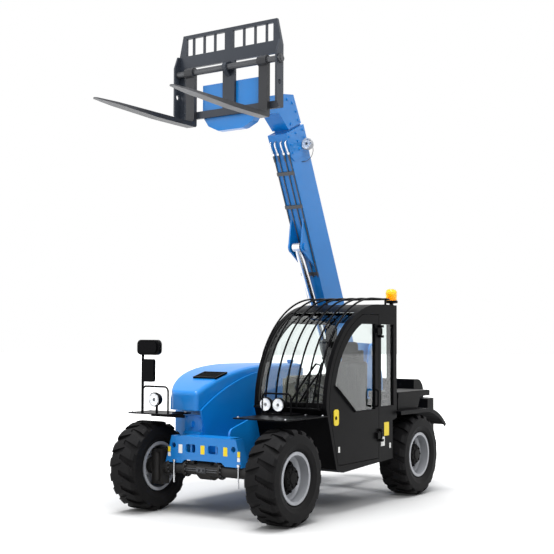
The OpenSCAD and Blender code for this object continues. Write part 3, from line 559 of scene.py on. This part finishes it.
for x in (640, 1710):
    knob = turned("turn_latch", [(0, 0), (0, 30), (5, 30), (8, 26), (8, 0)], 28)
    latches.append(aim(knob, at(x, bay_side - 8, 800), (0, -1, 0)))
    latches.append(block("turn_latch_grip", (x - 6, bay_side - 24, 780), (x + 6, bay_side - 12, 820), 3))
fit(join("service_door_latches", latches), black_paint, "chassis")

# The hood: one moulded skin with a long curved crown, rounded shoulders and a
# blunt nose. It hinges at its rear, and carries a black louvred vent.
hood_left, hood_back, hood_nose, hood_top = -262, 512, 2280, 1350
crown_x, crown_r, nose_r, nose_z = 1100, 3050, 50, 1080
nose_foot = 940
bay_front, hood_foot = 1860, 906
plan_x, plan_y, plan_r = 1500, 361, 1221
hood_shoulder, hood_thickness = 42, 10


def hood_right(x):
    """The hood's right side in plan: straight at the rear, then drawn in along an arc to the nose."""
    return plan_y - math.sqrt(plan_r ** 2 - max(x - plan_x, 0) ** 2)


def hood_low(x):
    """The height of the hood's foot, which rises from the bay's front to the nose."""
    return hood_foot + max(x - bay_front, 0) * (nose_foot - hood_foot) / (hood_nose - bay_front)


def hood_section(x, z, normal, shoulder, round_steps=6, top_steps=10):
    """Points of the hood's skin at one station, from its left foot over the crown to its right foot."""
    def point(depth, y):
        return at(x - normal.x * depth, y, z - normal.y * depth)

    def wall(y_of):
        foot_x = x - normal.x * shoulder
        foot = hood_low(foot_x)
        top = max(z - normal.y * shoulder, foot)
        return [at(foot_x, y_of(foot_x), foot + (top - foot) * i / 3) for i in range(3)]

    edge = hood_right(min(x, hood_nose))
    section = wall(lambda _: hood_left)
    for i in range(round_steps + 1):
        a = math.radians(90 * i / round_steps)
        section.append(point(shoulder * (1 - math.sin(a)), hood_left - shoulder * (1 - math.cos(a))))
    for i in range(1, top_steps):
        section.append(point(0, hood_left - shoulder + (edge + 2 * shoulder - hood_left) * i / top_steps))
    for i in range(round_steps, -1, -1):
        a = math.radians(90 * i / round_steps)
        section.append(point(shoulder * (1 - math.sin(a)), edge + shoulder * (1 - math.cos(a))))
    section.extend(reversed(wall(hood_right)))
    return section


stations = [(hood_back + (crown_x - hood_back) * i / 6, hood_top, Vector((0, 1))) for i in range(6)]
last_x = hood_nose - nose_r + 18
for i in range(22):
    x = crown_x + (last_x - crown_x) * i / 21
    fall = math.asin((x - crown_x) / crown_r)
    crown_z = hood_top - crown_r + crown_r * math.cos(fall)
    stations.append((x, crown_z, Vector((math.sin(fall), math.cos(fall)))))
for degrees in (55, 40, 25, 10, 0):
    a = math.radians(degrees)
    stations.append((hood_nose - nose_r + nose_r * math.cos(a), nose_z + nose_r * math.sin(a),
                     Vector((math.cos(a), math.sin(a)))))
for i in range(1, 5):
    stations.append((hood_nose, nose_z + (nose_foot - nose_z) * i / 4, Vector((1, 0))))
rows = [hood_section(x, z, normal, hood_shoulder) for x, z, normal in stations]


def skin(name, rows, thickness):
    """A curved sheet through rows of points, with its thickness in millimetres on its inner side."""
    deselect()
    bpy.ops.mesh.primitive_grid_add(x_subdivisions=len(rows[0]) - 1, y_subdivisions=len(rows) - 1, size=1.0)
    sheet = bpy.context.object
    sheet.name = name
    for vertex, place in zip(sheet.data.vertices, [p for row in rows for p in row]):
        vertex.co = place
    edit_all()
    bpy.ops.mesh.remove_doubles(threshold=1e-4)
    bpy.ops.mesh.dissolve_degenerate(threshold=1e-4)
    bpy.ops.object.mode_set(mode="OBJECT")
    wall = sheet.modifiers.new("skin_thickness", "SOLIDIFY")
    wall.thickness = thickness / 1000
    wall.offset = 1.0 if sheet.data.polygons[len(sheet.data.polygons) // 3].normal.z < 0 else -1.0
    bpy.ops.object.modifier_apply(modifier="skin_thickness")
    edit_all()
    bpy.ops.mesh.normals_make_consistent(inside=False)
    bpy.ops.object.mode_set(mode="OBJECT")
    bpy.ops.object.shade_smooth_by_angle(angle=math.radians(38))
    return sheet


hood_skin = skin("hood_skin", rows, hood_thickness)
hinge_x, hinge_z = 506, 1372
hinge_lugs = []
for y in (-729, -389):
    hinge_lugs.append(block("hood_hinge_strap", (hinge_x + 2, y, hood_top - 4), (560, y + 36, hinge_z), 4))
    eye_ring = turned("hood_hinge_eye", [(0, 8.1), (0, 14), (2, 16), (34, 16), (36, 14), (36, 8.1)], 28)
    hinge_lugs.append(aim(eye_ring, at(hinge_x, y, hinge_z), (0, 1, 0)))
hood_skin = fit(join("hood_skin", [hood_skin] + hinge_lugs), blue_paint, "hood")
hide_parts("hood")

coat(black_paint, "hood_vent")
louvres = [block("side_grille", (690, bay_side - 4, 975), (1340, bay_side + 2, 1205), 3)]
slat_foot, slat_count, slat_step = 988, 9, 24
for z in range(slat_foot, slat_foot + slat_count * slat_step, slat_step):
    louvres.append(block("side_slat", (705, bay_side - 14, z), (1325, bay_side - 3, z + 12), 3))
fit(join("hood_side_louvres", louvres), black_paint, "hood")

# The cab: a welded steel frame, door and roof in black, behind a cage of bent
# bars. Rubber-edged glass fills its openings.
coat(black_paint, "cab_shell", "cab_roof", "door", "windscreen_guard")


def clear(name, colour, rough, ior):
    """Window and lens glass, which lets light through to what is behind it."""
    material = bpy.data.materials.new(name)
    material.use_nodes = True
    tree = material.node_tree
    surface = tree.nodes["Principled BSDF"]
    surface.inputs["Base Color"].default_value = (*colour, 1.0)
    surface.inputs["Transmission Weight"].default_value = 1.0
    surface.inputs["IOR"].default_value = ior
    texture = tree.nodes.new("ShaderNodeGroup")
    texture.node_tree = grain
    gloss = tree.nodes.new("ShaderNodeMapRange")
    gloss.inputs["To Min"].default_value = rough
    gloss.inputs["To Max"].default_value = rough + 0.02
    shadow = tree.nodes.new("ShaderNodeLightPath")
    lit = tree.nodes.new("ShaderNodeBsdfTransparent")
    lit.inputs["Color"].default_value = (*colour, 1.0)
    mix = tree.nodes.new("ShaderNodeMixShader")
    wire(tree, (texture, "Patches", gloss, "Value"), (gloss, "Result", surface, "Roughness"),
         (shadow, "Is Shadow Ray", mix, "Fac"), (surface, "BSDF", mix, 1), (lit, "BSDF", mix, 2),
         (mix, "Shader", tree.nodes["Material Output"], "Surface"))
    return material


window_glass = clear("window_glass", (0.93, 0.97, 0.96), 0.0, 1.35)
coat(window_glass, "cab_glass", "door_glass")
cab_left = 855
fit(plate("door_latch_plate", (1588, cab_left - 1, 818), (1672, cab_left + 6, 966), 1, 26),
    yellow_label, "door")
key_hole = turned("key_hole", [(0, 0), (0, 17), (3, 17), (5, 14), (5, 9), (2, 8), (2, 0)], 24)
fit(aim(key_hole, at(1640, cab_left + 6, 888), (0, 1, 0)), black_paint, "door")
fit(plate("door_yellow_plate", (600, cab_left - 1, 656), (700, cab_left + 1.5, 790), 1, 8),
    yellow_label, "chassis")
small_plates = [plate("cab_plate", (x0, cab_left - 1, z0), (x1, cab_left + 1.5, z1), 1, 5)
                for x0, x1, z0, z1 in ((690, 768, 560, 650), (560, 592, 530, 580))]
fit(join("cab_white_plates", small_plates), white_label, "chassis")
fit(plate("door_white_plate", (1560, cab_left - 1, 566), (1590, cab_left + 1.5, 620), 1, 5),
    white_label, "door")


def rounded_path(points, bend, steps=6):
    """Points of a path in metres with its corners rounded to a bend radius in millimetres."""
    path = [points[0]]
    for before, corner, after in zip(points, points[1:], points[2:]):
        back, on = (before - corner).normalized(), (after - corner).normalized()
        reach = min(bend / 1000 / math.tan(max(back.angle(on), 0.02) / 2),
                    (before - corner).length * 0.49, (after - corner).length * 0.49)
        start, end = corner + back * reach, corner + on * reach
        for i in range(steps + 1):
            t = i / steps
            path.append(start * (1 - t) ** 2 + corner * 2 * t * (1 - t) + end * t ** 2)
    path.append(points[-1])
    return path


def tube(name, path, radius, sides=3):
    """A round tube along a path in metres, closed at both ends."""
    route = bpy.data.curves.new(name, "CURVE")
    route.dimensions = "3D"
    route.bevel_depth = radius / 1000
    route.bevel_resolution = sides
    route.use_fill_caps = True
    line = route.splines.new("POLY")
    line.points.add(len(path) - 1)
    for knot, place in zip(line.points, path):
        knot.co = (*place, 1.0)
    piece = bpy.data.objects.new(name, route)
    bpy.context.collection.objects.link(piece)
    pick(piece)
    bpy.ops.object.convert(target="MESH")
    piece = bpy.context.object
    edit_all()
    bpy.ops.mesh.remove_doubles(threshold=1e-5)
    bpy.ops.mesh.normals_make_consistent(inside=False)
    bpy.ops.object.mode_set(mode="OBJECT")
    bpy.ops.object.shade_smooth_by_angle(angle=math.radians(50))
    return piece


bar_line = [at(1284, cab_left + 2, 928), at(1300, cab_left + 12, 940), at(1632, cab_left + 12, 1168),
            at(1650, cab_left + 2, 1180)]
grip_line = [at(905, cab_left - 4, 1120), at(905, cab_left + 46, 1120), at(905, cab_left + 46, 960),
             at(905, cab_left - 4, 960)]
door_bar = tube("door_bar", rounded_path(bar_line, 10), 9)
grip = tube("door_grip", rounded_path(grip_line, 22), 10)
fit(join("door_bar_and_grip", [door_bar, grip]), black_paint, "door")

screen_x, screen_z, glass_r = 820, 976, 962


def on_screen(y, z, lift):
    """A point over the windscreen's curve, lift millimetres off the glass."""
    r = glass_r + lift
    return at(screen_x + math.sqrt(r ** 2 - (z - screen_z) ** 2), y, z)


pane_low, pane_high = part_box("windscreen")
pane_foot, pane_steps, pane_thick = math.radians(3), 48, 8
pane_head = math.asin((pane_high[2] * 1000 - screen_z) / glass_r)
pane_rows = []
for i in range(pane_steps + 1):
    a = pane_foot + (pane_head - pane_foot) * i / pane_steps
    edges = [at(screen_x + glass_r * math.cos(a), y * 1000, screen_z + glass_r * math.sin(a))
             for y in (pane_low[1], pane_high[1])]
    pane_rows.append([edges[0], (edges[0] + edges[1]) / 2, edges[1]])
pane = fit(skin("windscreen_pane", pane_rows, pane_thick), window_glass, "chassis")
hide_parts("windscreen")

wiper_foot = 1022
wipers = [block("wiper_motor", (1792, 440, 984), (1822, 620, 1030), 8, 3)]
for y0, y1, z1 in ((470, 690, 1385), (560, 770, 1345)):
    arm = [on_screen(y0 + (y1 - y0) * i / 10, wiper_foot + (z1 - wiper_foot) * i / 10, 22)
           for i in range(11)]
    wipers.append(tube("wiper_arm", [at(1806, y0, 1010)] + arm, 9))
blade = [on_screen(742 - 36 * i / 12, 1395 - 370 * i / 12, 9) for i in range(13)]
wipers.append(tube("wiper_blade", blade, 9, 1))
link = [on_screen(690, 1385, 22), on_screen(740, 1372, 20), on_screen(770, 1345, 22)]
wipers.append(tube("wiper_link", link, 6))
fit(join("windscreen_wipers", wipers), black_paint, "chassis")

seal_rubber = finish("seal_rubber", (0.014, 0.014, 0.014), (0.009, 0.009, 0.009), 0.62, 0.08, bump=0.001)
seal_right, seal_left, seal_foot, seal_rise = 100, 810, 1026, 830
seals = []
for y in (seal_right, seal_left):
    side_line = [on_screen(y, seal_foot + seal_rise * i / 16, 4) for i in range(17)]
    seals.append(tube("screen_seal", side_line, 8, 2))
foot_line = [on_screen(seal_right + (seal_left - seal_right) * i / 6, seal_foot, 4) for i in range(7)]
seals.append(tube("screen_seal", foot_line, 8, 2))
fit(join("windscreen_seals", seals), seal_rubber, "chassis")

# The driver's place: a foam seat under black vinyl on a steel box, a moulded
# olive-grey dash, a steering wheel and a side console with a lever.
cab_trim = finish("cab_trim", (0.085, 0.082, 0.066), (0.062, 0.060, 0.049), 0.62, 0.08, bump=0.001)
seat_vinyl = finish("seat_vinyl", (0.012, 0.012, 0.013), (0.008, 0.008, 0.008), 0.5, 0.10, bump=0.002,
                    grain_scale=260.0)
coat(cab_trim, "dash")
coat(seat_vinyl, "steering_wheel")
channel_width, channel_depth = 9, 7


def stuffed(name, low, high, cap, facing, channels):
    """A foam pad: a rounded block, swelled a little by air pressure in a short cloth simulation.

    Sewn channels are then drawn into its seen side, one at each y in millimetres.
    """
    pad = block(name, low, high, 38, 4)
    even_skin = pad.modifiers.new("even_skin", "REMESH")
    even_skin.mode = "VOXEL"
    even_skin.voxel_size = 0.006
    bpy.ops.object.modifier_apply(modifier="even_skin")
    before = [v.co.copy() for v in pad.data.vertices]
    air = pad.modifiers.new("air", "CLOTH")
    air.settings.use_pressure = True
    air.settings.uniform_pressure_force = 4.0
    air.settings.effector_weights.gravity = 0.0
    for moment in range(1, 21):
        bpy.context.scene.frame_set(moment)
    bpy.ops.object.modifier_apply(modifier="air")
    bpy.context.scene.frame_set(1)
    for vertex, start in zip(pad.data.vertices, before):
        shift = vertex.co - start
        if shift.length > cap / 1000:
            vertex.co = start + shift.normalized() * (cap / 1000)
    even = pad.modifiers.new("even", "SMOOTH")
    even.iterations = 12
    bpy.ops.object.modifier_apply(modifier="even")
    normals = [v.normal.copy() for v in pad.data.vertices]
    for vertex, normal in zip(pad.data.vertices, normals):
        seen = max(normal.dot(Vector(facing)), 0.0)
        pull = sum(math.exp(-((vertex.co.y * 1000 - y) / channel_width) ** 2) for y in channels)
        vertex.co -= normal * (seen * pull * channel_depth / 1000)
    pick(pad)
    bpy.ops.object.shade_smooth()
    return pad


seat_box = block("seat_box", (722, 322, 472), (1078, 588, 742), 12)
seat_pan = block("seat_pan", (650, 222, 742), (1148, 688, 762), 8)
seat_spine = block("seat_spine", (622, 330, 780), (648, 580, 1500), 10)
seat_frame = fit(join("seat_frame", [seat_box, seat_pan, seat_spine]), black_paint, "chassis")
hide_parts("seat")
upward_side, front_side = (0.0, 0.0, 1.0), (1.0, 0.0, 0.0)
seams = (345, 455, 565)
for name, low, high, cap, facing, channels in (
        ("seat_cushion", (660, 228, 768), (1140, 682, 862), 14, upward_side, seams),
        ("seat_back", (652, 246, 880), (728, 664, 1400), 14, front_side, seams),
        ("seat_headrest", (650, 366, 1430), (708, 544, 1584), 10, front_side, ())):
    pad = fit(stuffed(name, low, high, cap, facing, channels), seat_vinyl, "chassis")
console = block("side_console", (700, 112, 480), (1120, 200, 900), 25, 3)
side_panel = block("side_panel", (500, 97, 480), (1380, 110, 1225), 6)
side_ledge = block("side_ledge", (560, 97, 1215), (1320, 172, 1248), 12, 3)
fit(join("side_console", [console, side_panel, side_ledge]), cab_trim, "chassis")
lever = turned("lever", [(0, 0), (0, 26), (14, 22), (22, 9), (150, 7), (156, 18), (190, 24), (225, 20),
                         (238, 0)], 24)
fit(aim(lever, at(1040, 156, 892), (0.25, 0.05, 1.0)), seat_vinyl, "chassis")

# The lamps: black bowls with a bright pressed reflector behind a clear domed
# lens. A pair stands before the cab, one by the mirrors and one on the boom.
coat(black_paint, "front_lamps")
reflector = finish("reflector", (0.86, 0.87, 0.88), (0.42, 0.43, 0.45), 0.2, 0.05, metallic=0.55, bump=0.004,
                   patch=30.0, grain_scale=60.0)
lamp_glass = clear("lamp_glass", (0.96, 0.97, 0.98), 0.03, 1.3)
charcoal_plastic = finish("charcoal_plastic", (0.05, 0.05, 0.055), (0.03, 0.03, 0.033), 0.4, 0.08)
grey_paint = finish("grey_paint", (0.34, 0.35, 0.37), (0.26, 0.27, 0.29), 0.38, 0.08)
coat(grey_paint, "boom_lamp")
boom_deg, boom_y, pivot_x, pivot_z = 65, -100, -540, 1460


def on_boom(along, side, rise):
    """A point in millimetres along the boom from its pivot, left of its middle, and square to it."""
    c, s = math.cos(math.radians(boom_deg)), math.sin(math.radians(boom_deg))
    return at(pivot_x + along * c - rise * s, boom_y + side, pivot_z + along * s + rise * c)


lamp_back = on_boom(2560, 179, -394) - Vector((0.06, 0.0, 0.0))
lamps = [("front_left_lamp", at(1905, 452, 1010), 66, "chassis"),
         ("front_right_lamp", at(1905, 312, 1010), 66, "chassis"),
         ("mirror_lamp", at(2440, -575, 1046), 66, "chassis"),
         ("boom_lamp", lamp_back, 62, "boom")]
bulb_line = [(80, 0), (80, 15), (83, 14), (83.8, 9), (84, 0)]
for name, origin, radius, body in lamps:
    inner, edge = radius * 0.4, radius - 8
    dish_line = [(79, 0), (80, inner), (81.5, edge), (83.5, edge), (81.5, inner), (80.5, 0)]
    lens_line = [(84.5, 0), (84.5, edge), (87, edge), (93, radius * 0.72), (97, inner), (98.5, 0)]
    for part, line, steps, material, slot in (
            ("_reflector", dish_line, 40, reflector, "bright_steel"),
            ("_bulb", bulb_line, 24, charcoal_plastic, "black_paint"),
            ("_lens", lens_line, 40, lamp_glass, "clear_glass")):
        fit(aim(turned(name + part, line, steps), origin, (1, 0, 0)), material, body)

# The fenders, the mirror post and the tank behind the cab: bent sheet and tube
# in black, with silvered glass let into the mirrors' rear faces.
coat(black_paint, "front_fender", "rear_fenders", "tank_box", "mirrors")
mirror_glass = finish("mirror_glass", (0.86, 0.88, 0.90), (0.82, 0.84, 0.86), 0.04, 0.02, metallic=1.0,
                      bump=0.0)
mirror_faces = [plate("mirror_face", (2472.5, -780, 1472), (2475, -540, 1584), 0, 34),
                plate("mirror_face", (2480.5, -718, 1214), (2483, -602, 1412), 0, 14)]
fit(join("mirror_faces", mirror_faces), mirror_glass, "chassis")
fender_top = 917
fender_spots = ((2240, -860), (2240, -430), (2500, -860), (2450, -430),
                (1830, 650), (1830, 830), (2440, 830), (2440, 330))
fit(spread(bolt("fender_bolt", 16, 8), "fender_bolts",
           [(at(x, y, fender_top), (0, 0, 1)) for x, y in fender_spots]),
    bright_steel, "chassis")
cap = turned("tank_cap", [(0, 0), (0, 46), (6, 50), (26, 50), (32, 44), (32, 0)], 32)
fit(aim(cap, at(180, 640, 1069), (0, 0, 1)), black_paint, "chassis")

# The beacon: a turned black base on a bracket over the roof's edge, with a
# ribbed amber dome around its bulb.
amber_lens = clear("amber_lens", (1.0, 0.50, 0.03), 0.1, 1.3)
roof_z = 1956
beacon_foot = at(290, 720, roof_z)
bracket = block("beacon_bracket", (262, 702, roof_z + 0.5), (488, 738, roof_z + 10), 3)
base = turned("beacon_base", [(8, 0), (8, 20), (22, 20), (28, 62), (34, 66), (50, 66), (54, 60), (54, 0)], 40)
beacon = fit(join("beacon_base", [bracket, aim(base, beacon_foot, (0, 0, 1))]),
             black_paint, "chassis")
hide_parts("beacon")
ribbed = [(54, 0), (54, 59)]
for i in range(8):
    ribbed += [(56 + i * 10, 59), (60 + i * 10, 57)]
ribbed += [(138, 58), (156, 54), (168, 44), (174, 26), (176, 0)]
dome = turned("beacon_dome", ribbed, 40)
fit(aim(dome, beacon_foot, (0, 0, 1)), amber_lens, "chassis")
amber_core = finish("amber_core", (0.95, 0.55, 0.04), (0.85, 0.44, 0.03), 0.4, 0.05)
core = turned("beacon_core", [(56, 0), (56, 34), (120, 30), (128, 20), (130, 0)], 24)
fit(aim(core, beacon_foot, (0, 0, 1)), amber_core, "chassis")

# The boom: a welded box with a thicker collar at its mouth, bolted wear pads,
# and four plated pipes under it that end in bent unions.
coat(blue_paint, "boom_outer")
coat(pipe_steel, "boom_tubes")
boom_end, collar_y, boom_under = 2750, 113, -645
boom_line = on_boom(1, 0, 0) - on_boom(0, 0, 0)
collar_spots = [(x, z) for x in (45, 130, 215) for z in (-325, -465, -605) if (x, z) != (215, -325)]
collar_bolts = [(on_boom(boom_end - x, side * collar_y, z), (0, side, 0))
                for side in (-1, 1) for x, z in collar_spots]
fit(spread(bolt("collar_bolt", 20, 8), "collar_bolts", collar_bolts), blue_paint, "boom")
unions = []
for side in (-92, -36, 36, 92):
    elbow = [on_boom(boom_end - back, side, boom_under + rise)
             for back, rise in ((205, -10), (125, -26), (84, -26), (70, 3))]
    unions.append(tube("pipe_union", rounded_path(elbow, 26), 9))
    nut = turned("union_nut", [(0, 9), (0, 15), (3, 16.5), (24, 16.5), (27, 15), (27, 9)], 6)
    unions.append(aim(nut, on_boom(boom_end - 215, side, boom_under - 10), boom_line))
fit(join("pipe_unions", unions), bright_steel, "boom")
cable_black = finish("cable_black", (0.016, 0.016, 0.017), (0.010, 0.010, 0.010), 0.5, 0.08)


def smooth_route(points, steps):
    """A smooth curve that passes through every point."""
    knots = [points[0] * 2 - points[1]] + points + [points[-1] * 2 - points[-2]]
    route = []
    for a, b, c, d in zip(knots, knots[1:], knots[2:], knots[3:]):
        for i in range(steps):
            t = i / steps
            route.append(0.5 * (2 * b + (c - a) * t + (2 * a - 5 * b + 4 * c - d) * t ** 2
                                + (3 * b - a - 3 * c + d) * t ** 3))
    return route + [points[-1]]


cable_loop = ((3, 0, 0), (-34, -2, -10), (-64, -14, -52), (-60, -36, -112), (-10, -60, -160))
route = smooth_route([lamp_back + Vector(bend) / 1000 for bend in cable_loop] + [on_boom(2400, 103, -470)], 6)
lamp_cable = fit(tube("boom_lamp_cable", route, 3, 2), cable_black, "boom")

# The boom's head: a welded box that cranks forward to the head pin. A yellow
# sounder with a dark band is bolted to its right side.
coat(blue_paint, "boom_inner")
coat(bright_steel, "head_pin")
yellow_plastic = finish("yellow_plastic", (0.78, 0.52, 0.02), (0.66, 0.43, 0.02), 0.38, 0.06, coat=0.2,
                        bump=0.001)
coat(yellow_plastic, "head_lamp")
band = turned("sounder_band", [(54, 45), (54, 49), (57, 50.5), (73, 50.5), (76, 49), (76, 45)], 40)
fit(aim(band, on_boom(boom_end + 110, -150, -455), boom_line), black_paint, "boom_extension")
head_side = 100
head_spots = ((60, -345), (150, -350), (60, -500), (250, -380), (310, -460))
head_bolts = [(on_boom(boom_end + x, side * head_side, z), (0, side, 0))
              for side in (-1, 1) for x, z in head_spots]
fit(spread(bolt("head_bolt", 24, 8), "head_bolts", head_bolts), blue_paint, "boom_extension")

# The lift cylinder: a charcoal drawn tube with a bolted gland, and a chromed rod
# whose eye sits between the boom's lugs.
charcoal_paint = finish("charcoal_paint", (0.027, 0.033, 0.045), (0.017, 0.021, 0.029), 0.40, 0.08)
coat(charcoal_paint, "lift_barrel")
coat(bright_steel, "lift_rod")
lift_deg, lift_x, lift_z = 61.8, -250, 600


def on_lift(along, side, rise):
    """A point in millimetres along the cylinder from its lower pin, left of its middle, and square to it."""
    c, s = math.cos(math.radians(lift_deg)), math.sin(math.radians(lift_deg))
    return at(lift_x + along * c - rise * s, boom_y + side, lift_z + along * s + rise * c)


feed_line = [on_lift(150, -24, -48), on_lift(170, -30, -58), on_lift(1060, -30, -58), on_lift(1086, -26, -54)]
feed_parts = [tube("lift_feed_pipe", rounded_path(feed_line, 14), 6)]
lean = Matrix.Rotation(-math.radians(lift_deg), 4, "Y") @ Matrix.Translation(-at(0, 0, 0))
for along in (300, 620, 940):
    clip = block("pipe_clip", (-12, -40, -8), (12, 4, 8), 3)
    clip.data.transform(Matrix.Translation(on_lift(along, -12, -54)) @ lean)
    feed_parts.append(clip)
fit(join("lift_feed_pipe", feed_parts), charcoal_paint, "lift_barrel")

# The quick hitch, the fork carriage and the forks: welded plates in blue and
# charcoal on a dark shaft. The forks are rubbed to bare steel at their tips.
coat(blue_paint, "coupler")
coat(charcoal_paint, "fork_carriage")
coat(pipe_steel, "fork_shaft")
wear, wear_in, wear_out = make_group("tip_wear", [("Start", 1.0), ("End", 2.0)], ["Wear"])
coords = wear.nodes.new("ShaderNodeTexCoord")
axes = wear.nodes.new("ShaderNodeSeparateXYZ")
blade_run = wear.nodes.new("ShaderNodeMapRange")
scuffs = wear.nodes.new("ShaderNodeTexNoise")
scuffs.inputs["Scale"].default_value = 24.0
scuffs.inputs["Detail"].default_value = 6.0
rubbed = math_node(wear, "MULTIPLY")
wire(wear,
     (coords, "Object", axes, "Vector"), (coords, "Object", scuffs, "Vector"),
     (axes, "X", blade_run, "Value"), (wear_in, "Start", blade_run, "From Min"),
     (wear_in, "End", blade_run, "From Max"), (blade_run, "Result", rubbed, 0),
     (scuffs, "Fac", rubbed, 1), (rubbed, "Value", wear_out, "Wear"))
fork_paint = finish("fork_paint", (0.024, 0.025, 0.029), (0.015, 0.016, 0.018), 0.38, 0.08)
fork_tree = fork_paint.node_tree
fork_surface = fork_tree.nodes["Principled BSDF"]
tips = fork_tree.nodes.new("ShaderNodeGroup")
tips.node_tree = wear
tips.inputs["Start"].default_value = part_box("fork_left")[1][0] - 0.7
tips.inputs["End"].default_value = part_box("fork_left")[1][0] + 0.2
bare = fork_tree.nodes.new("ShaderNodeMix")
bare.data_type = "RGBA"
bare.inputs["B"].default_value = (0.20, 0.20, 0.21, 1.0)
painted = fork_surface.inputs["Base Color"].links[0].from_node
wire(fork_tree, (painted, "Result", bare, "A"), (tips, "Wear", bare, "Factor"),
     (bare, "Result", fork_surface, "Base Color"))
coat(fork_paint, "fork_left", "fork_right")
